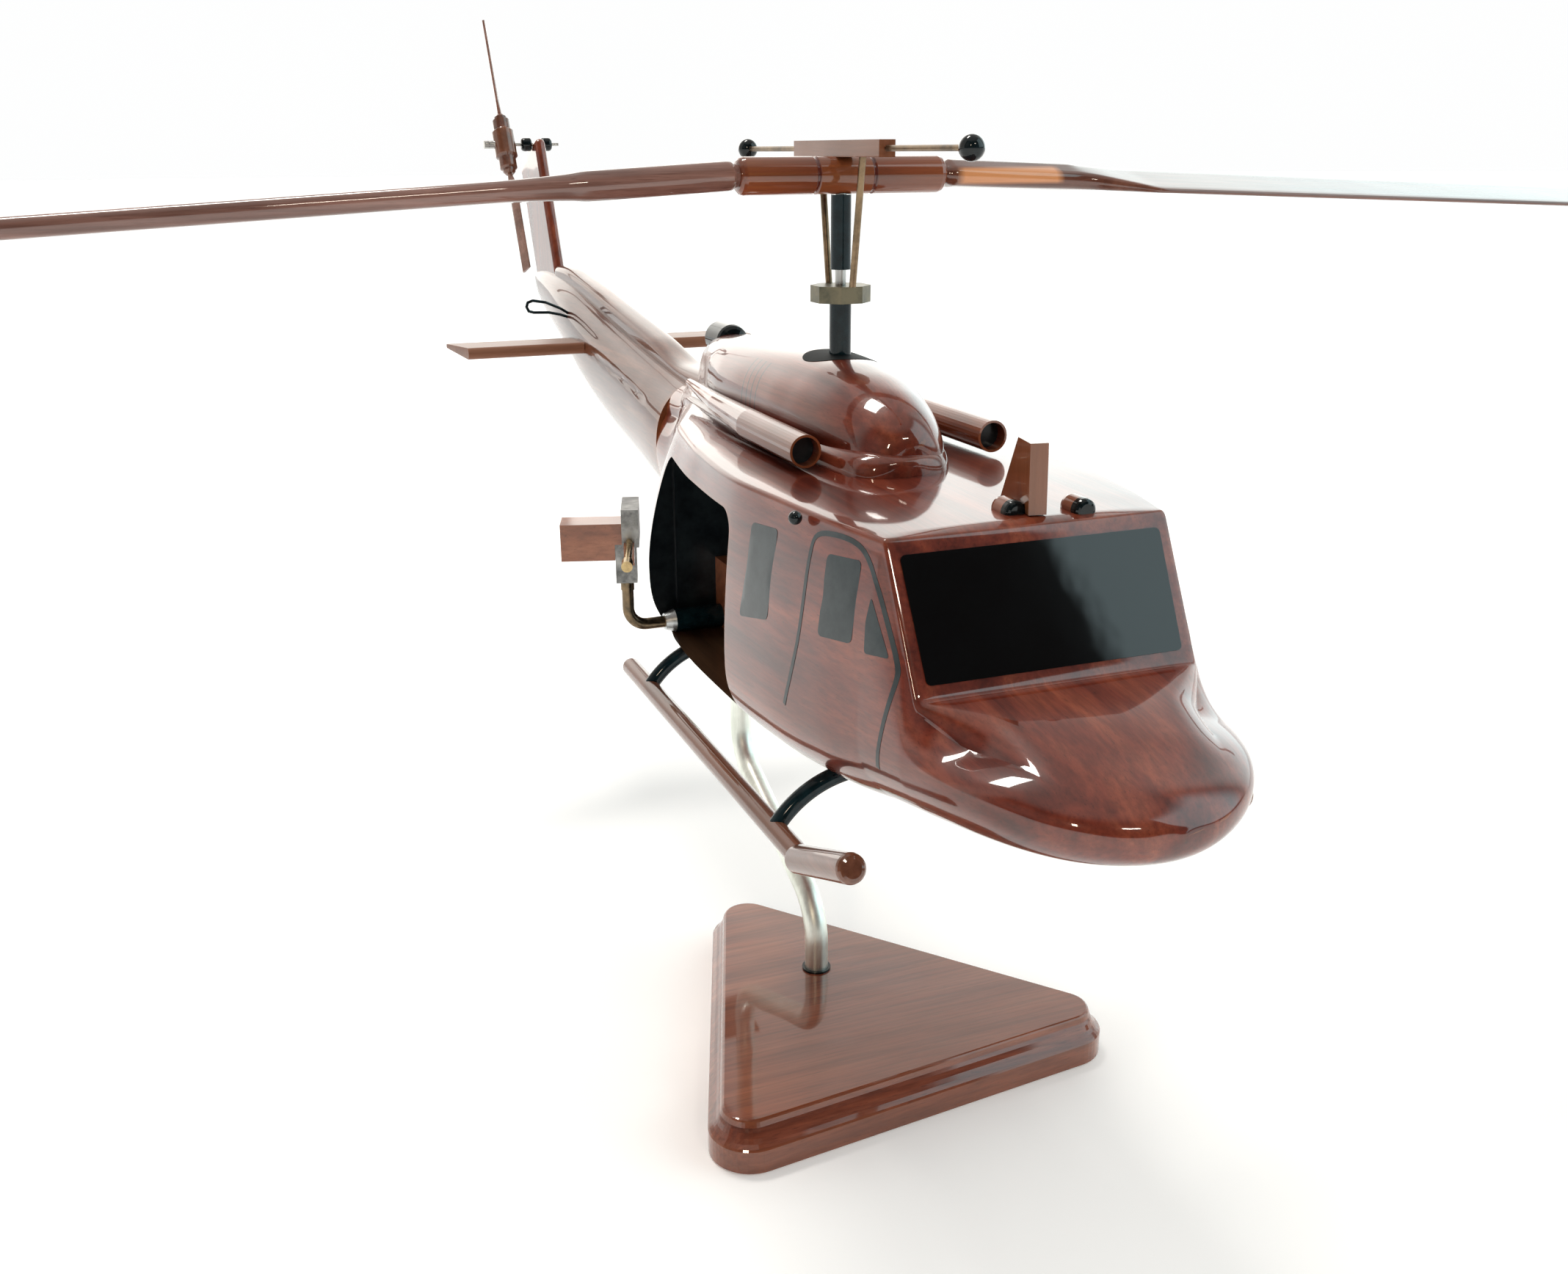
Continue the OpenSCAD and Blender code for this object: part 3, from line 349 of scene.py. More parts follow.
def band(nt, value, centre, half, soft):
    """1 within half of centre, falling to 0 over soft."""
    d = math_node(nt, "ABSOLUTE", math_node(nt, "SUBTRACT", value, centre))
    fall = math_node(nt, "DIVIDE", math_node(nt, "SUBTRACT", d, half), soft)
    return math_node(nt, "SUBTRACT", 1.0, fall, clamp=True)


LOUVRES, LOUVRE_Y, LOUVRE_PITCH, LOUVRE_X, LOUVRE_TOP = 4, 12.25, 3.1, 9.5, 171.2
LOUVRE_HALF, LOUVRE_SOFT = 0.22, 0.14
# Where the painted highlight lies on one blade's shank, in mm.
GLINT_X, GLINT_HALF_X, GLINT_SOFT_X = 39.5, 11.5, 2.0
GLINT_Z, GLINT_HALF_Z, GLINT_SOFT_Z = 211.6, 1.3, 0.7


def louvre_shade(nt, coords, col):
    """Painted shade: fine dark lines across the cowling's sides, standing in for the shaded grooves of its
    louvres.
    """
    x, y, z = (axis_of(nt, coords, k) for k in "XYZ")
    lines = None
    for i in range(LOUVRES):
        b = band(nt, y, (LOUVRE_Y + LOUVRE_PITCH * i) * MM, LOUVRE_HALF * MM, LOUVRE_SOFT * MM)
        lines = b if lines is None else math_node(nt, "MAXIMUM", lines, b)
    side = math_node(nt, "GREATER_THAN", math_node(nt, "ABSOLUTE", x), LOUVRE_X * MM)
    low = math_node(nt, "LESS_THAN", z, LOUVRE_TOP * MM)
    f = math_node(nt, "MULTIPLY", lines, math_node(nt, "MULTIPLY", side, low))
    return mixed(nt, math_node(nt, "MULTIPLY", f, 0.95), col, (0.006, 0.003, 0.002))


def shank_highlight(nt, coords, col):
    """Painted highlight: a pale warm band along one blade's shank, standing in for the light its scooped flat
    reflects.
    """
    x, z = axis_of(nt, coords, "X"), axis_of(nt, coords, "Z")
    along = band(nt, x, GLINT_X * MM, GLINT_HALF_X * MM, GLINT_SOFT_X * MM)
    up = band(nt, z, GLINT_Z * MM, GLINT_HALF_Z * MM, GLINT_SOFT_Z * MM)
    return mixed(nt, math_node(nt, "MULTIPLY", along, up), col, (0.68, 0.29, 0.12))


hull_wood = wood("lacquered_hull_wood", seed=3.1)
cowl_wood = wood("lacquered_cowling_wood", seed=8.4, lift=louvre_shade)
boom_wood = wood(
    "lacquered_boom_wood", seed=5.2, mid=(0.11, 0.032, 0.016), light=(0.2, 0.07, 0.033), coat=0.75
)
fin_wood = wood("lacquered_fin_wood", grain="Z", seed=6.6, edge=0.15)
base_wood = wood(
    "lacquered_board_wood", grain="X", seed=11.0, dark=(0.115, 0.025, 0.012), mid=(0.20, 0.05, 0.024),
    light=(0.30, 0.095, 0.047), edge=0.2, gloss=0.04,
)
blade_wood = wood(
    "lacquered_blade_wood", grain="X", seed=14.0, dark=(0.10, 0.045, 0.036), mid=(0.22, 0.112, 0.092),
    light=(0.34, 0.185, 0.15), edge=0.15,
)
# Blade b's wood carries the painted highlight along its shank.
highlit_blade_wood = wood(
    "lacquered_blade_wood_painted_highlight", grain="X", seed=15.5, dark=(0.06, 0.02, 0.014),
    mid=(0.12, 0.042, 0.028), light=(0.2, 0.08, 0.055), edge=0.15, lift=shank_highlight,
)
hub_wood = wood("lacquered_hub_wood", grain="X", seed=17.0, edge=0.5)
tail_wood = wood(
    "satin_tail_wood", grain="X", seed=23.0, dark=(0.09, 0.045, 0.034), mid=(0.16, 0.088, 0.068),
    light=(0.23, 0.13, 0.105), edge=0.3, coat=0.06, gloss=0.3,
)
bar_wood = wood(
    "lacquered_bar_wood", seed=21.0, dark=(0.06, 0.022, 0.015), mid=(0.12, 0.045, 0.03),
    light=(0.19, 0.075, 0.05), edge=0.3,
)
skid_wood = wood(
    "lacquered_skid_wood", seed=24.0, dark=(0.055, 0.02, 0.013), mid=(0.12, 0.045, 0.028),
    light=(0.2, 0.08, 0.05), edge=0.2,
)
box_wood = wood(
    "lacquered_box_wood", grain="X", seed=27.0, dark=(0.17, 0.05, 0.026), mid=(0.30, 0.105, 0.052),
    light=(0.41, 0.165, 0.088), edge=0.2, coat=0.8, gloss=0.12,
)
antenna_wood = wood(
    "lacquered_antenna_wood", grain="Z", seed=31.0, dark=(0.05, 0.018, 0.012), mid=(0.11, 0.04, 0.025),
    light=(0.18, 0.07, 0.045), edge=0.4,
)
# A much darker copy of the wood for the cabin floor: painted shade for the floor under the cabin's roof.
shaded_floor_wood = wood(
    "cabin_floor_wood_painted_shade", seed=40.0, dark=(0.03, 0.014, 0.007), mid=(0.055, 0.027, 0.013),
    light=(0.085, 0.045, 0.022), edge=0.0, coat=0.6, gloss=0.15,
)
black = paint(
    "black_gloss_paint", (0.002, 0.005, 0.006), (0.005, 0.011, 0.013), rough=0.1, coat=0.6, coat_rough=0.03
)
glass_black = paint(
    "windshield_black_gloss", (0.0006, 0.0008, 0.0009), (0.0014, 0.002, 0.0022),
    rough=0.1, coat_rough=0.02, waviness=0.05, scale=60.0,
)
cabin_black = paint(
    "cabin_black_paint", (0.004, 0.006, 0.008), (0.012, 0.017, 0.02),
    rough=0.35, coat=0.5, coat_rough=0.2, scale=200.0,
)
disc_black = paint(
    "matte_black_disc", (0.004, 0.006, 0.007), (0.009, 0.012, 0.013), rough=0.6, coat=0.0, scale=200.0
)
grey = paint(
    "grey_window_paint", (0.020, 0.030, 0.034), (0.034, 0.048, 0.052), rough=0.3, coat=0.7, scale=260.0
)
tube_black = paint("teal_black_enamel", (0.002, 0.0085, 0.0115), (0.006, 0.021, 0.027), rough=0.12, coat=0.4)
rod_metal = metal("satin_aluminium_rod", (0.93, 0.97, 0.9), (0.74, 0.78, 0.71), (0.34, 0.5), "Z")
steel = metal("dull_steel", (0.62, 0.62, 0.6), (0.36, 0.36, 0.35), (0.2, 0.4), "Z")
brass = metal("tarnished_brass", (0.27, 0.19, 0.115), (0.11, 0.08, 0.052), (0.22, 0.45), scale=500.0)
block_brass = metal("greenish_brass", (0.21, 0.185, 0.125), (0.10, 0.10, 0.075), (0.28, 0.5), scale=420.0)
bright_brass = metal("bright_brass", (0.66, 0.5, 0.25), (0.36, 0.26, 0.13), (0.16, 0.34), scale=500.0)
solder = metal(
    "solder_collar", (0.72, 0.75, 0.76), (0.42, 0.45, 0.46), (0.25, 0.5), scale=700.0, graininess=0.4
)
post_brass = metal("dark_brass_post", (0.24, 0.17, 0.10), (0.07, 0.06, 0.045), (0.2, 0.42), scale=500.0)
gun_metal = metal("gun_metal", (0.35, 0.35, 0.34), (0.05, 0.05, 0.05), (0.2, 0.5), scale=300.0)

nodes_of = (
    (base_wood, "stand_base"),
    (hull_wood, "fuselage cowling_sill intake_ducts ram_vents"),
    (cowl_wood, "engine_cowling"),
    (boom_wood, "tail_boom drive_shaft_cover"),
    (tail_wood, "stabilizer_starboard stabilizer_port"),
    (fin_wood, "tail_fin"),
    (antenna_wood, "blade_antenna"),
    (blade_wood, "main_blade_a main_blade_b tail_rotor_blades"),
    (hub_wood, "rotor_hub"),
    (bar_wood, "stabilizer_block"),
    (skid_wood, "skid_tubes skid_toes tail_rotor_hub"),
    (box_wood, "rear_bench foregrip_starboard foregrip_port ammo_box_starboard ammo_box_port"),
    (black, "rod_ring exhaust_nozzle vent_caps position_light tail_rotor_beads bar_weights"),
    (glass_black, "windshield"),
    (grey, "side_windows door_lines"),
    (cabin_black, "cabin_liner seat_backs intake_throats"),
    (disc_black, "mast_disc"),
    (tube_black, "gun_cross_tube loop_antenna lower_sleeve upper_sleeve front_cross_tube rear_cross_tube"),
    (rod_metal, "stand_rod"),
    (steel, "rod_socket mast_bush tail_rotor_axle rotor_mast"),
    (solder, "gun_tube_collars"),
    (block_brass, "swash_block"),
    (brass, "pitch_links stabilizer_rods"),
    (post_brass, "gun_posts"),
    (gun_metal, "gun_starboard gun_port"),
    (bright_brass, "barrel_starboard barrel_port"),
)
for mat, names in nodes_of:
    for name in names.split():
        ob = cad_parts[name]
        ob.data.materials.clear()
        ob.data.materials.append(mat)
        shade(ob, 32)

# ------------------------------------------------------------------ fuselage

BELLY, ROOF, HALF, NOSE = 98.0, 154.5, 39.0, -134.0
FOOT_Y, FOOT_Z, ROOF_Y, BOOM_Y = -97.0, 129.5, -84.0, 96.0
# Stations: [y, half width, belly, widest, roof, roof half width, roof edge radius, squareness]
nose_rows = [
    [NOSE, 0.6, 115.6, 116.3, 117, 0.4, 0.3, 2],
    [NOSE + 0.5, 5.2, 113.4, 116.3, 118.2, 3.6, 1.8, 2],
    [NOSE + 1.5, 9, 112, 116.4, 119.4, 6, 3, 2],
    [NOSE + 5, 15.5, 109.8, 117, 121.9, 10, 5, 2],
    [NOSE + 10, 20.8, 108, 117.8, 124, 13.5, 6, 2.05],
    [NOSE + 17, 25.2, 106.3, 118.8, 126.3, 18, 6, 2.1],
    [NOSE + 26, 28.6, 104.4, 119.6, 128.2, 22, 6, 2.1],
    [FOOT_Y, 31, 102.4, 120, FOOT_Z, 28.2, 1.5, 2.15],
]
slope_rows = [nose_rows[-1], [ROOF_Y, 32.8, 100.6, 120, ROOF, 28.4, 1, 2.3]]
roof_rows = [
    slope_rows[-1],
    [-70, 35.6, 98.8, 119.5, ROOF + 0.3, 31.6, 1, 2.5],
    [-50, 38, BELLY, 119.5, ROOF + 0.6, 34.4, 1, 2.8],
    [-30, HALF, BELLY, 119.5, ROOF + 0.7, 36.4, 1, 3],
    [0, HALF + 0.6, BELLY, 120, ROOF + 0.6, 34, 1.2, 3],
    [20, HALF - 0.4, BELLY, 120.5, ROOF + 0.4, 30.8, 1.6, 3],
    [34, 36, BELLY + 0.6, 121.5, ROOF + 0.4, 28, 2, 2.9],
    [46, 31, BELLY + 3, 124, ROOF + 0.3, 24.4, 3.5, 2.7],
    [60, 24, BELLY + 8, 128, ROOF + 0.2, 19.4, 5, 2.5],
    [72, 18.6, BELLY + 13, 132, ROOF + 0.2, 15, 6, 2.3],
    [84, 15.8, BELLY + 17.6, 135, ROOF, 12, 7, 2.1],
    [BOOM_Y, 14.9, BELLY + 20.4, 136.6, ROOF, 11.6, 8, 2.1],
]


def lerp_rows(a, b, n):
    a, b = np.array(a, float), np.array(b, float)
    return np.array([a + (b - a) * i / n for i in range(n + 1)])


all_rows = np.vstack([
    smooth_rows(nose_rows, 1.1)[:-1],
    lerp_rows(*slope_rows, 14)[:-1],
    smooth_rows(roof_rows, 1.7),
])


def soften(rows, y, reach):
    """Rounds the crease that runs across the fuselage at y."""
    i = int(np.argmin(abs(rows[:, 0] - y)))
    k = abs(rows[:, 0] - y) < reach
    k[i] = True
    a = np.array([np.interp(y - reach, rows[:, 0], rows[:, c]) for c in range(rows.shape[1])])
    b = np.array([np.interp(y + reach, rows[:, 0], rows[:, c]) for c in range(rows.shape[1])])
    m = rows[i].copy()
    curve = [(1 - t) ** 2 * a + 2 * t * (1 - t) * m + t * t * b for t in np.linspace(0, 1, 6)]
    return np.vstack([rows[: np.argmax(k)], curve, rows[len(k) - np.argmax(k[::-1]) :]])


all_rows = soften(soften(all_rows, FOOT_Y, 0.7), ROOF_Y, 0.5)


BELLY_STEPS, SIDE_STEPS, EDGE_STEPS, ROOF_STEPS = 26, 22, 8, 12
ROOF_CAMBER, NOSE_BLEND, NOSE_ROUNDNESS, SIDE_CURVE = 0.5, 27, 2.25, 1.7


def camber_at(y):
    return ROOF_CAMBER if y > ROOF_Y + 1 else 0.0


def half_section(s):
    """Right half of a station as [x, z], belly's middle to roof's middle."""
    y, w, zb, zm, zt, rw, re, q = s
    pts = []
    for i in range(BELLY_STEPS):
        a = math.radians(-90 + 90 * i / BELLY_STEPS)
        pts.append((w * spow(math.cos(a), 2 / q), zm + (zm - zb) * spow(math.sin(a), 2 / q)))
    for i in range(SIDE_STEPS):
        t = i / SIDE_STEPS
        pts.append((w + (rw - w) * t**SIDE_CURVE, zm + (zt - re - zm) * t))
    for i in range(EDGE_STEPS + 1):
        a = math.radians(90 * i / EDGE_STEPS)
        pts.append((rw - re + re * math.cos(a), zt - re + re * math.sin(a)))
    for i in range(1, ROOF_STEPS):
        t = 1 - i / ROOF_STEPS
        pts.append(((rw - re) * t, zt + camber_at(y) * (1 - t * t)))
    if y < FOOT_Y:  # the nose's edges melt into a round section
        t = min(1.0, (FOOT_Y - y) / NOSE_BLEND)
        blend = t * t * (3 - 2 * t)
        e = 2 / NOSE_ROUNDNESS
        for i in range(BELLY_STEPS, len(pts)):
            a = math.radians(90 * (i - BELLY_STEPS) / (len(pts) - BELLY_STEPS))
            oval = (w * spow(math.cos(a), e), zm + (zt - zm) * spow(math.sin(a), e))
            pts[i] = tuple(p * (1 - blend) + o * blend for p, o in zip(pts[i], oval))
    pts[0] = (0.0, pts[0][1])
    return pts


rings = []
for s in all_rows:
    y, roof = s[0] * MM, s[4]
    right = [(x * MM, y, z * MM) for x, z in half_section(s)]
    top = (0.0, y, (roof + camber_at(s[0])) * MM)
    left = [(-x, y, z) for x, y, z in reversed(right[1:])]
    rings.append(right + [top] + left)
hull = new_piece("fuselage_shell", *skin(rings), None, [hull_wood, cabin_black, shaded_floor_wood], 24)

DOOR_Y, SILL_Z, HEAD_Z, DOOR_R = 31, 105, 148.5, 5


def door_outline(k=10):
    """The doorway's outline with rounded corners, as [y, z]."""
    out = []
    y, z0, z1 = DOOR_Y - DOOR_R, SILL_Z + DOOR_R, HEAD_Z - DOOR_R
    for cy, cz, start in ((y, z1, 0), (-y, z1, 90), (-y, z0, 180), (y, z0, 270)):
        for i in range(k + 1):
            a = math.radians(start + 90 * i / k)
            out.append((cy + DOOR_R * math.cos(a), cz + DOOR_R * math.sin(a)))
    return out


def prism(name, outline, half, mat):
    """An outline [y, z] drawn out across the fuselage."""
    n = len(outline)
    v = [(x * MM, y * MM, z * MM) for x in (-half, half) for y, z in outline]
    f = [tuple(range(n)), tuple(range(2 * n - 1, n - 1, -1))]
    f += [(j, (j + 1) % n, (j + 1) % n + n, j + n) for j in range(n)]
    return new_piece(name, v, f, None, [mat])


cut(hull, prism("door_cutter", door_outline(), 60, hull_wood))
for f in hull.data.polygons:
    c = f.center / MM
    flat_across = abs(f.normal.x) < 0.02 and abs(c.x) < 38
    in_door = abs(c.y) < DOOR_Y + 0.05 and SILL_Z + 0.4 < c.z < HEAD_Z + 0.05
    on_side = abs(c.z - HEAD_Z) < 0.1 or abs(abs(c.y) - DOOR_Y) < 0.1
    in_corner = abs(c.y) > DOOR_Y - DOOR_R and not SILL_Z + DOOR_R <= c.z <= HEAD_Z - DOOR_R
    f.material_index = 1 if flat_across and in_door and (on_side or in_corner) else 0
    # The sill's upward faces take the darker floor wood, painted shade.
    if f.normal.z > 0.95 and abs(c.z - SILL_Z) < 0.2 and abs(c.y) < DOOR_Y:
        f.material_index = 2
shade(hull, 24)
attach(hull, "airframe")
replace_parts(hull, "fuselage")


def station(y):
    return [np.interp(y, all_rows[:, 0], all_rows[:, k]) for k in range(all_rows.shape[1])]


def side_x(y, z):
    """Half width of the fuselage's side at a height."""
    _, w, zb, zm, zt, rw, re, q = station(y)
    if z >= zm:
        t = min(1.0, (z - zm) / (zt - re - zm))
        return w + (rw - w) * t**SIDE_CURVE
    u = min(1.0, (zm - z) / (zm - zb))
    return w * (1 - u**q) ** (1 / q)


def well_inside(outline, y, z, margin=0.35):
    """True if a point is inside an outline and further than margin from it."""
    inside = False
    for i, a in enumerate(outline):
        b = outline[(i + 1) % len(outline)]
        if (a[1] > z) != (b[1] > z) and y < (b[0] - a[0]) * (z - a[1]) / (b[1] - a[1]) + a[0]:
            inside = not inside
        ab, ap = b - a, Vector((y, z)) - a
        t = max(0, min(1, ap.dot(ab) / max(ab.length_squared, 1e-9)))
        if (ab * t - ap).length <= margin:
            return False
    return inside


def side_patch(name, outline, proud=0.07, depth=0.35, step=1.6):
    """A thin inlay in grey paint that follows both sides of the fuselage."""
    out = [Vector(p) for p in outline]
    (y0, z0), (y1, z1) = np.min(outline, axis=0), np.max(outline, axis=0)
    ys, zs = np.arange(y0 + step / 2, y1, step), np.arange(z0 + step / 2, z1, step)
    grid = [Vector((y, z)) for y in ys for z in zs]
    pts = out + [p for p in grid if well_inside(out, *p)]
    flat, _, tris, *_ = delaunay_2d_cdt(pts, [], [list(range(len(out)))], 1, 1e-5)
    verts, faces = [], []
    for side in (1, -1):
        first = len(verts)
        verts += [(side * (side_x(y, z) + proud) * MM, y * MM, z * MM) for y, z in flat]
        faces += [tuple(first + i for i in tri[::side]) for tri in tris]
    ob = new_piece(name, verts, faces, None, [grey], 60)
    thickness = ob.modifiers.new("thickness", "SOLIDIFY")
    thickness.thickness = depth * MM
    thickness.offset = -1
    apply_modifiers(ob)
    shade(ob, 40)
    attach(ob, "airframe")
    return ob


def bend(a, p, b, t):
    """A point of the curve from a to b that is pulled towards p."""
    return (1 - t) ** 2 * a + 2 * t * (1 - t) * p + t * t * b


def round_corners(points, r=1.3, k=5):
    out = []
    n = len(points)
    for i in range(n):
        p, a, b = Vector(points[i]), Vector(points[i - 1]), Vector(points[(i + 1) % n])
        start, end = p + (a - p).normalized() * r, p + (b - p).normalized() * r
        out += [tuple(bend(start, p, end, j / k)) for j in range(k + 1)]
    return out


def ribbon(points, w):
    """Outline of a band of width w along a path, after rounding the path."""
    p = [Vector(q) for q in points]
    for _ in range(2):
        r = [p[0]]
        for a, b in zip(p, p[1:]):
            r += [a.lerp(b, 0.25), a.lerp(b, 0.75)]
        p = r + [p[-1]]
    left, right = [], []
    for i, q in enumerate(p):
        t = (p[min(i + 1, len(p) - 1)] - p[max(i - 1, 0)]).normalized()
        out = Vector((-t[1], t[0])) * w / 2
        left.append(tuple(q + out))
        right.append(tuple(q - out))
    return left + right[::-1]


rear_window = [(-41.5, 148.7), (-51.9, 149.5), (-51.6, 131.8), (-38.9, 129.1)]
crew_window = [(-69.9, 149.1), (-79.6, 149.9), (-80.3, 135.3), (-70.3, 134.1)]
quarter_window = [(-83.7, 144.6), (-90.3, 135.4), (-84.1, 134.7), (-83.3, 140.2)]
seam = [
    (-59.8, 117.5), (-62.4, 125), (-64.4, 134), (-64.2, 149.2), (-65.8, 152),
    (-72.2, 152.9), (-77.7, 152.6), (-81, 150.9), (-84.5, 147), (-88.8, 140.4),
    (-92.4, 134.6), (-92.8, 132.4), (-92.2, 127.4), (-91.2, 121.1), (-89.9, 115.5),
]
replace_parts(side_patch("rear_cabin_windows", round_corners(rear_window)), "side_windows")
side_patch("crew_door_windows", round_corners(crew_window))
side_patch("quarter_windows", round_corners(quarter_window, 0.8))
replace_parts(side_patch("crew_door_seam", ribbon(seam, 0.95)), "door_lines")

# ------------------------------------------------------------------ cowling, sill, boom

sill_rows = [
    [-45.2, 1.5, 150, 154, 157.6, 3, 3, -4.6],
    [-45, 4, 150, 154, 158.6, 3, 3, -4.6],
    [-44, 7.4, 150, 154, 159.4, 4, 3, -4.5],
    [-41.5, 10.2, 150, 154, 160.2, 5, 3.4, -4.3],
    [-36, 12.4, 150, 154, 160.6, 6, 4, -3.8],
    [-26, 14.3, 150, 154, 160.7, 6, 4.5, -2.8],
    [-10, 16.6, 150, 154, 160.4, 6, 4.5, -1.5],
    [10, 18, 150, 154, 159.7, 6, 4.5, -0.5],
    [35, 17.4, 149, 153, 158.3, 6, 4.5, 0],
    [60, 15, 146, 152, 157.4, 5, 4, 0],
    [80, 12, 146, 151, 156.6, 4, 3, 0],
    [92, 9, 144, 149, 155.9, 3, 2.5, 0],
]
sill_fine = smooth_rows(sill_rows, 1.3, (0, 1, 4, 7))
sill = new_piece("cowling_sill_shell", *skin(oval_rings(sill_fine, 96)), "airframe", [hull_wood], 35)
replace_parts(sill, "cowling_sill")

cowling_rows = [
    [-43.6, 0.6, 158, 160, 161.2, 2, 2, -2.6],
    [-43.4, 3, 154, 158, 162.4, 2, 2, -2.6],
    [-42.6, 5.8, 152, 157, 164, 2, 2, -2.7],
    [-40.3, 8.2, 152, 157, 166.6, 2.3, 2, -2.8],
    [-36, 10.5, 152, 158, 169, 2.6, 2, -2.8],
    [-30, 12.2, 152, 159, 171, 3, 2.1, -2.7],
    [-20, 13.8, 152, 160, 172.9, 3, 2.2, -2],
    [-8, 14.8, 152, 160, 174, 3, 2.3, -1.3],
    [5, 15.1, 152, 160, 174.2, 3, 2.4, -1],
    [25, 15, 152, 160, 173.6, 3, 2.6, -0.6],
    [42, 14.4, 152, 160, 172.8, 3, 2.6, -0.3],
    [53, 13.2, 152, 160, 172.3, 3, 2.6, 0],
    [60, 11.8, 152, 160, 171.8, 3, 2.6, 0],
    [67, 10, 152, 160, 171.2, 3, 2.6, 0],
    [74, 8.2, 152, 159, 170.3, 3, 2.5, 0],
    [80, 6.8, 152, 158, 168.6, 3, 2.4, 0],
    [84, 5.8, 152, 157, 166, 3, 2.2, 0],
]
cowling_fine = smooth_rows(cowling_rows, 1.2, (0, 1, 4))
cowl = new_piece("engine_cowling_shell", *skin(oval_rings(cowling_fine, 96)), "airframe", [cowl_wood], 35)
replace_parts(cowl, "engine_cowling")


def cowling_top(x, y):
    """Height of the cowling's top."""
    columns = cowling_fine[:, (1, 3, 4, 6, 7)].T
    half, middle, top, q, shift = (np.interp(y, cowling_fine[:, 0], c) for c in columns)
    u = min(1, abs((x - shift) / half))
    return middle + (top - middle) * (1 - u**q) ** (1 / q)


DISC_R, DISC_RINGS, DISC_SIDES, DISC_LIFT, DISC_SUNK = 8.35, 8, 64, 0.09, 0.5


def disc_ring(r, lift):
    """A circle of points round the mast, lift above the cowling."""
    out = []
    for k in range(DISC_SIDES):
        a = 2 * math.pi * k / DISC_SIDES
        x, y = r * math.cos(a), r * math.sin(a)
        out.append((x * MM, y * MM, (cowling_top(x, y) + lift) * MM))
    return out


# The dark disc round the mast's foot lies on the cowling's curved top.
radii = [DISC_R * j / DISC_RINGS for j in range(1, DISC_RINGS + 1)]
disc_rings = [disc_ring(r, DISC_LIFT) for r in radii] + [disc_ring(r, -DISC_SUNK) for r in radii[::-1]]
verts, faces = skin(disc_rings)
for centre, lift in ((-2, DISC_LIFT), (-1, -DISC_SUNK)):
    verts[centre] = (0, 0, (cowling_top(0, 0) + lift) * MM)
disc = new_piece("mast_disc_shell", verts, faces, "airframe", [disc_black], 35)
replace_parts(disc, "mast_disc")

boom_rows = [
    [BOOM_Y, 14.9, BELLY + 20.4, 136.6, ROOF, 2.1, 2.4],
    [106, 14.4, 119.6, 137.8, 155.2, 2.1, 2.4],
    [137, 12.6, 123.5, 142, 158.2, 2.1, 2.6],
    [171, 11.4, 128, 147.5, 162.2, 2.1, 2.6],
    [206, 10.6, 135.5, 153.5, 166.8, 2.1, 2.5],
    [239, 9, 145.5, 160, 171, 2.1, 2.4],
    [262, 7.2, 150.5, 164, 172.4, 2.1, 2.3],
    [280, 5.6, 154.5, 166, 172.6, 2.1, 2.2],
    [294, 4.2, 158.5, 167, 172, 2, 2.1],
    [304, 2.6, 163, 168.5, 171, 2, 2],
]
GROOVE_START, GROOVE_END, GROOVE_FADE = 112, 202, 6
GROOVE_Z, GROOVE_RISE, GROOVE_DEPTH, GROOVE_HALF = 147.5, 0.08, 0.45, 0.9
dense_boom = smooth_rows(boom_rows, 1.8)
boom_rings = oval_rings(dense_boom, 96)
for s, ring in zip(dense_boom, boom_rings):  # the carved line along each side
    fade = min(1.0, (s[0] - GROOVE_START) / GROOVE_FADE, (GROOVE_END - s[0]) / GROOVE_FADE)
    zc = GROOVE_Z + (s[0] - GROOVE_START) * GROOVE_RISE
    for j, (x, y, z) in enumerate(ring):
        off = abs(z / MM - zc) / GROOVE_HALF
        if fade > 0 and off < 1:
            ring[j] = (x - math.copysign(GROOVE_DEPTH * MM * fade * (1 - off), x), y, z)
boom = new_piece("tail_boom_shell", *skin(boom_rings), "airframe", [boom_wood], 40)
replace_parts(boom, "tail_boom")

drive_rows = [
    [80, 5.2, 150, 154, 158.6, 4, 2.6],
    [106, 4.8, 150, 156, 158.2, 4, 2.8],
    [138, 4.5, 154, 160.5, 163, 4, 2.8],
    [179, 4.2, 158, 165.5, 168.2, 4, 2.8],
    [228, 3.8, 164, 171.5, 174, 4, 2.8],
    [252, 3.4, 168, 173, 176, 4, 2.8],
    [266, 2.9, 169, 172.5, 175.6, 4, 2.6],
    [272, 1.6, 169, 171.5, 173.2, 4, 2.4],
]
drive = new_piece(
    "drive_cover_shell", *skin(oval_rings(smooth_rows(drive_rows, 2.0), 64)), "airframe", [boom_wood], 40
)
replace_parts(drive, "drive_shaft_cover")

# ------------------------------------------------------------------ blades


def arc_points(y, r, start, sweep, n):
    angles = [start + sweep * i / n for i in range(n + 1)]
    return [(y + r * math.cos(a), r * math.sin(a)) for a in angles]


def join(a, b, n=8):
    """Points between a and b."""
    return [tuple(np.array(a) * (1 - i / n) + np.array(b) * i / n) for i in range(1, n)]


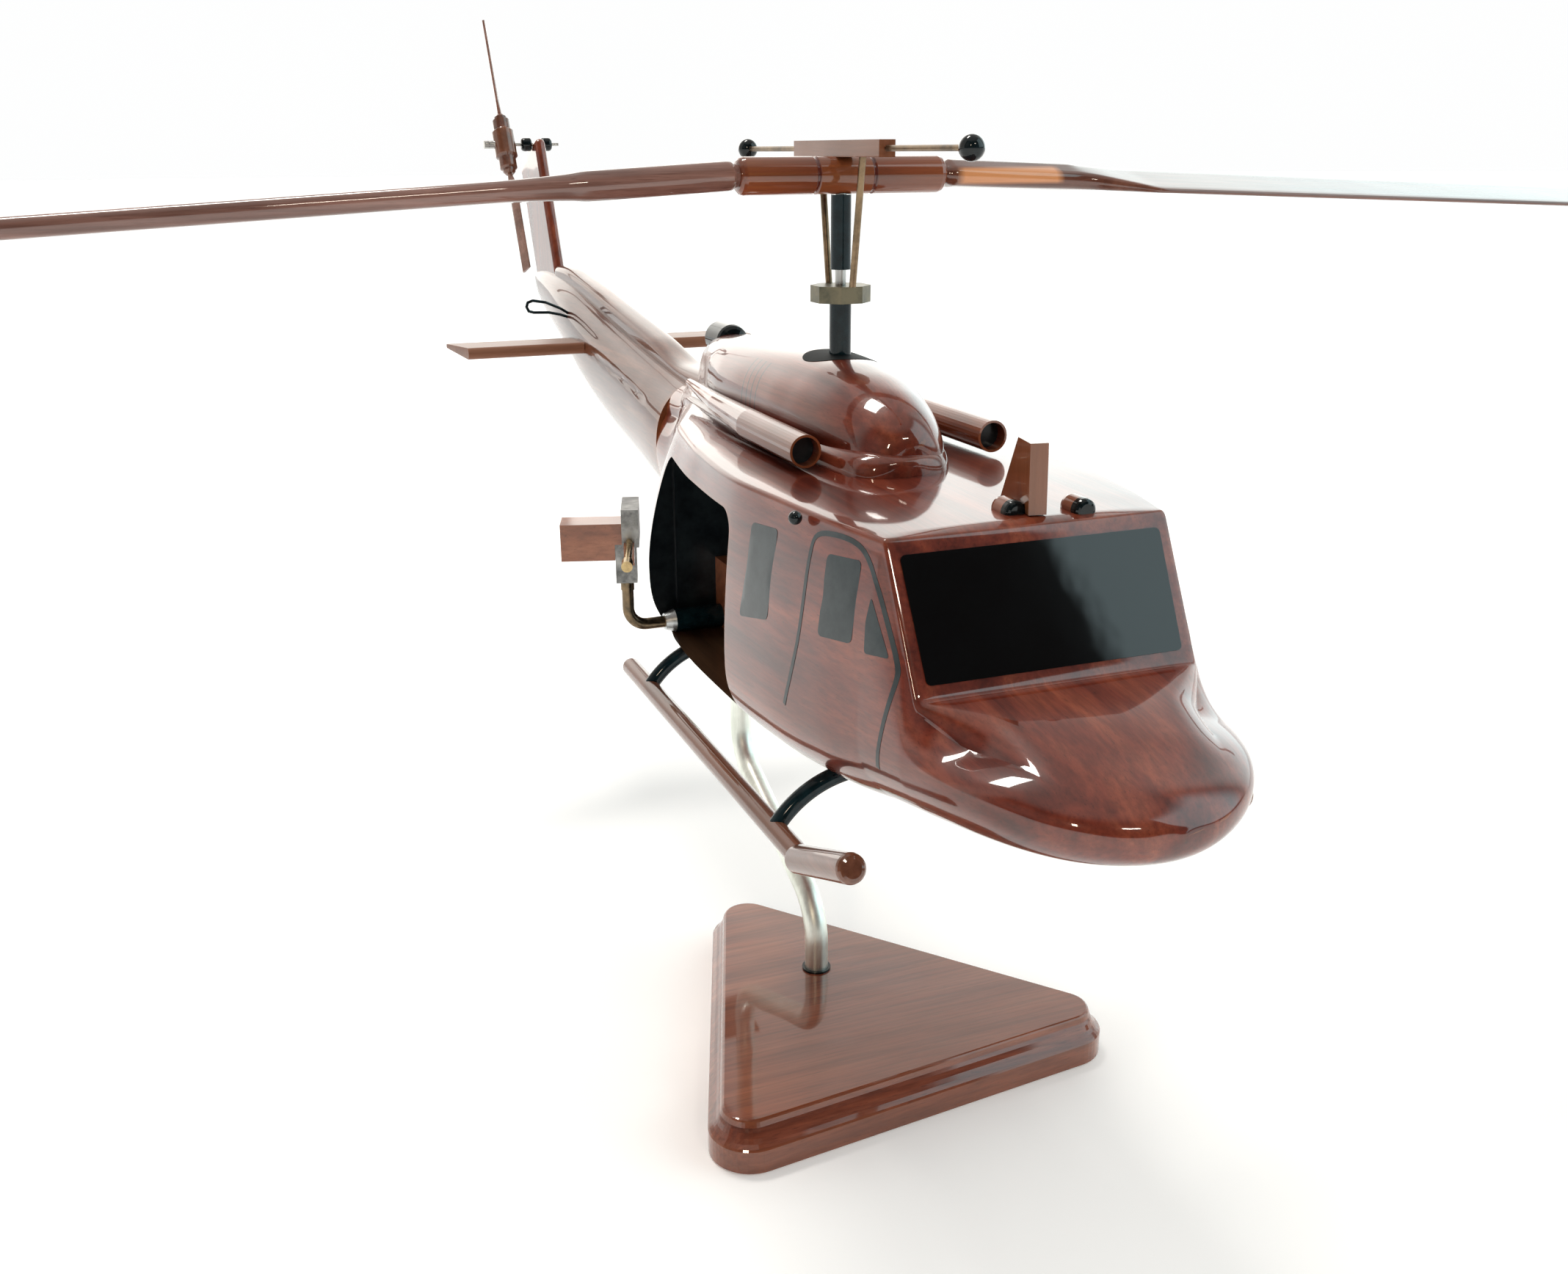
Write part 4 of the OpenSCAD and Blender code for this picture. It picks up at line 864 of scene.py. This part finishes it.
def teardrop(nose_d, nose_y, tail_d, tail_y):
    """Outline round a nose circle and a tail circle, as [y, z]."""
    r0, r1, d = nose_d / 2, tail_d / 2, tail_y - nose_y
    a = math.asin((r0 - r1) / d) if d > abs(r0 - r1) else 0.0
    nose = arc_points(nose_y, r0, math.pi / 2 - a, math.pi + 2 * a, 16)
    tail = arc_points(tail_y, r1, a - math.pi / 2, math.pi - 2 * a, 8)
    return nose + join(nose[-1], tail[0]) + tail + join(tail[-1], nose[0])


CHORD, PITCH, HUB_Z, HUB_HALF, ROTOR_R = 17.5, 9.0, 212.0, 24.0, 244.0
NOSE_Y, TAIL_Y = 2.1 - CHORD * 0.27, CHORD * 0.73 - 0.5
# [distance out, nose circle's diameter and place, tail circle's diameter and place]
slices = np.array([
    [23, 4.2, -0.6, 3.2, 0.6],
    [24.2, 4.5, -0.7, 3.4, 0.8],
    [25.8, 6.0, -1.3, 4.4, 1.5],
    [56, 5.9, -1.6, 4, 2.2],
    [60, 5.2, -1.8, 3.6, 3.2],
    [64.5, 4.7, -2.1, 2.8, 6],
    [69, 4.3, -2.4, 1.9, 9],
    [74, 4.1, NOSE_Y, 1, TAIL_Y],
    [84, 4.05, NOSE_Y, 1, TAIL_Y],
    [ROTOR_R - 1.5, 3.9, NOSE_Y, 0.9, TAIL_Y],
    [ROTOR_R - 0.2, 2.6, NOSE_Y + 0.3, 0.6, TAIL_Y - 0.9],
])


def blade(name, droop, turn, mat, cad):
    spans = ((23, 76, 60), (78, ROTOR_R - 2, 60), (ROTOR_R - 1.6, ROTOR_R - 0.2, 6))
    xs = np.concatenate([np.linspace(*span) for span in spans])
    cols = [pchip(slices[:, 0], slices[:, k], xs) for k in range(1, 5)]
    place = (
        Matrix.Rotation(math.radians(turn), 4, "Z")
        @ Matrix.Translation((-HUB_HALF, 0, HUB_Z))
        @ Matrix.Rotation(math.radians(-droop), 4, "Y")
        @ Matrix.Translation((HUB_HALF, 0, 0))
        @ Matrix.Rotation(math.radians(-PITCH), 4, "X")
    )
    rings = [[tuple((place @ Vector((-x, y, z))) * MM) for y, z in teardrop(*c)] for x, *c in zip(xs, *cols)]
    ob = new_piece(name, *skin(rings), "main_rotor", [mat], 38)
    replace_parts(ob, cad)


blade("main_blade_a_shell", 3.2, 0, blade_wood, "main_blade_a")
blade("main_blade_b_shell", 2.3, 180, highlit_blade_wood, "main_blade_b")

# ------------------------------------------------------------------ bent tubes

SLOPE, BEND, FOOT, TOP, ROD_D = math.radians(22), 14.0, 12.7, 69.5, 6.0
ROD_START, LOW_Z, ROD_END = 3, 19.5, 123.7
reach, turn = TOP - FOOT - 2 * BEND * (1 - math.sin(SLOPE)), math.pi / 2 - SLOPE
high_z = LOW_Z + 2 * BEND * math.cos(SLOPE) + reach * math.tan(SLOPE)
bends = [(BEND * (1 - math.cos(turn * i / 24)), BEND * math.sin(turn * i / 24)) for i in range(25)]
line = [(0, FOOT, ROD_START + i * 1.5) for i in range(11)]
line += [(0, FOOT + y, LOW_Z + z) for y, z in bends]
line += [(0, TOP - y, high_z - z) for y, z in reversed(bends)]
line += [(0, TOP, high_z + (ROD_END - high_z) * i / 12) for i in range(1, 13)]
rod = new_piece("bent_rod", *swept(line, ROD_D, 64), "stand", [rod_metal], 40)
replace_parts(rod, "stand_rod")

TUBE_D, TUBE_Z, TUBE_FLAT, TUBE_BEND, TUBE_TURN = 3.5, 103, 22, 21.8, 56
for cad, y in (("front_cross_tube", -62.5), ("rear_cross_tube", 22.0)):
    arc = []
    for i in range(29):
        a = math.radians(TUBE_TURN * i / 28)
        arc.append((TUBE_FLAT + TUBE_BEND * math.sin(a), y, TUBE_Z - TUBE_BEND * (1 - math.cos(a))))
    path = [(-x, y, z) for x, _, z in reversed(arc)]
    path += [(x, y, TUBE_Z) for x in np.linspace(-20, 20, 15)] + arc
    tube = new_piece(cad + "_bent", *swept(path, TUBE_D, 40), "airframe", [tube_black], 40)
    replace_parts(tube, cad)

# ------------------------------------------------------------------ floor, light, camera


def between(nt, value, a, b):
    """0 below a, 1 above b, smooth between them."""
    m = nt.nodes.new("ShaderNodeMapRange")
    m.interpolation_type = "SMOOTHSTEP"
    nt.links.new(value, m.inputs["Value"])
    set_inputs(m, {"From Min": a, "From Max": b})
    return m.outputs[0]


def product(nt, *values):
    out = values[0]
    for v in values[1:]:
        out = math_node(nt, "MULTIPLY", out, v)
    return out


def patch(nt, az, el, *edges):
    """A soft-edged patch of sky; each pair gives where it starts and is full, in degrees."""
    values = zip((az, az, el, el), np.radians(edges).tolist())
    return product(nt, *(between(nt, v, start, full) for v, (start, full) in values))


def distance_from(nt, coords, point):
    n = nt.nodes.new("ShaderNodeVectorMath")
    n.operation = "DISTANCE"
    nt.links.new(coords, n.inputs[0])
    n.inputs[1].default_value = point
    return n.outputs["Value"]


FLOOR_HALF, DOME_R, DOME_RINGS, DOME_SIDES = 14, 15, 13, 48

floor_mat, nt, b = material("pale_floor")
coords = object_coords(nt)
shades = [(0.3, (0.90, 0.905, 0.905)), (0.7, (0.93, 0.935, 0.935))]
nt.links.new(ramp(nt, noise(nt, coords, 2.0, 3.0), shades), b.inputs["Base Color"])
set_inputs(b, {"Roughness": 0.7, "Specular IOR Level": 0.1, "Emission Color": (1, 1, 1, 1)})
far_glow = math_node(nt, "MULTIPLY", between(nt, distance_from(nt, coords, (0, 0, 0)), 0.08, 0.65), 0.22)
from_nose = between(nt, distance_from(nt, coords, (-0.06, -0.27, 0)), 0.06, 0.3)
nose_glow = math_node(nt, "MULTIPLY", math_node(nt, "SUBTRACT", 1.0, from_nose), 0.15)
glow = math_node(nt, "ADD", math_node(nt, "ADD", far_glow, 0.16), nose_glow)
nt.links.new(glow, b.inputs["Emission Strength"])
me = bpy.data.meshes.new("floor")
square = [(x * FLOOR_HALF, y * FLOOR_HALF, 0) for x, y in ((-1, -1), (1, -1), (1, 1), (-1, 1))]
me.from_pydata(square, [], [(0, 1, 2, 3)])
me.materials.append(floor_mat)
link_object("floor", me)

# A plain pale backdrop for the camera alone, all the way round
backdrop_mat, nt, b = material("pale_backdrop")
coords = object_coords(nt)
shades = [(0.2, (0.985, 0.99, 0.99)), (0.8, (1.0, 1.0, 1.0))]
nt.links.new(ramp(nt, noise(nt, coords, 0.2, 1.0), shades), b.inputs["Emission Color"])
set_inputs(b, {"Base Color": (0, 0, 0, 1), "Specular IOR Level": 0.0, "Emission Strength": 1.0})
dome = []
for i in range(DOME_RINGS):
    up = math.radians(-6 + 96 * i / (DOME_RINGS - 1))
    spin = [2 * math.pi * j / DOME_SIDES for j in range(DOME_SIDES)]
    r = DOME_R * math.cos(up)
    dome.append([(r * math.cos(a), r * math.sin(a), DOME_R * math.sin(up)) for a in spin])
verts, faces = skin(dome, close_ends=False)
me = bpy.data.meshes.new("backdrop")
me.from_pydata(verts, [], faces)
me.materials.append(backdrop_mat)
backdrop = link_object("backdrop", me)
for ray in ("diffuse", "glossy", "transmission", "shadow"):
    setattr(backdrop, "visible_" + ray, False)

# The sky's brightness depends on its direction: az from -Y towards +X, el from the horizon.
world = bpy.data.worlds.new("studio")
bpy.context.scene.world = world
world.use_nodes = True
nt = world.node_tree
bg = nt.nodes["Background"]
sep = nt.nodes.new("ShaderNodeSeparateXYZ")
nt.links.new(nt.nodes.new("ShaderNodeTexCoord").outputs["Generated"], sep.inputs[0])
x, y, z = sep.outputs
az = math_node(nt, "ARCTAN2", x, math_node(nt, "MULTIPLY", y, -1.0))
el = math_node(nt, "ARCSINE", z)
behind = between(nt, y, -0.05, 0.45)
in_front = math_node(nt, "SUBTRACT", 1.0, behind)
high_behind = product(nt, behind, between(nt, el, math.radians(14), math.radians(44)))
high_in_front = product(nt, in_front, between(nt, el, math.radians(44), math.radians(68)))
sky = mixed(nt, behind, (0.06, 0.05, 0.05), (2.3, 2.24, 2.1))
for where, colour in (
    (product(nt, behind, between(nt, math_node(nt, "MULTIPLY", x, -1.0), 0.12, 0.5)), (0.72, 0.66, 0.6)),
    (product(nt, behind, between(nt, x, 0.25, 0.75)), (1.8, 2.05, 2.05)),
    (math_node(nt, "ADD", high_behind, high_in_front), (0.62, 0.58, 0.55)),
    (patch(nt, az, el, (36.5, 38), (95, 80), (2, 6), (58, 50)), (1.5, 1.9, 1.98)),
    (patch(nt, az, el, (-115, -70), (-35, -75), (0, 14), (52, 30)), (0.3, 0.27, 0.26)),
):
    sky = mixed(nt, where, sky, colour)
nt.links.new(sky, bg.inputs["Color"])
bg.inputs["Strength"].default_value = 1.0


def area(name, place, target, size, power, colour):
    light = bpy.data.lights.new(name, "AREA")
    light.shape = "RECTANGLE"
    light.size, light.size_y = size
    light.energy = power
    light.color = colour
    o = link_object(name, light)
    o.location = place
    o.rotation_euler = (Vector(target) - Vector(place)).to_track_quat("-Z", "Y").to_euler()


area("overhead", (-0.25, 0.75, 1.9), (0, 0, 0.1), (0.7, 0.3), 17, (1, 0.96, 0.9))
area("left_window", (-0.9, -1.3, 0.85), (0, -0.05, 0.12), (0.1, 0.22), 3.0, (1, 0.8, 0.6))
area("front_window", (0.1, -1.6, 1.25), (0, -0.05, 0.12), (0.36, 0.1), 4, (1, 0.88, 0.74))

CAMERA_AT = (-0.1317, -0.3024, 0.2173)
CAMERA_AZ, CAMERA_DOWN, CAMERA_ROLL = math.radians(-21.32), math.radians(18.36), math.radians(-0.28)
cam = bpy.data.cameras.new("camera")
cam.lens = 33.75
cam.sensor_width = 36
cam.clip_start = 0.01
camera = link_object("camera", cam)
camera.matrix_world = (
    Matrix.Translation(CAMERA_AT)
    @ Matrix.Rotation(CAMERA_AZ, 4, "Z")
    @ Matrix.Rotation(math.pi / 2 - CAMERA_DOWN, 4, "X")
    @ Matrix.Rotation(CAMERA_ROLL, 4, "Z")
)
bpy.context.scene.camera = camera
bpy.context.scene.view_settings.view_transform = "Standard"
bpy.context.scene.view_settings.look = "None"
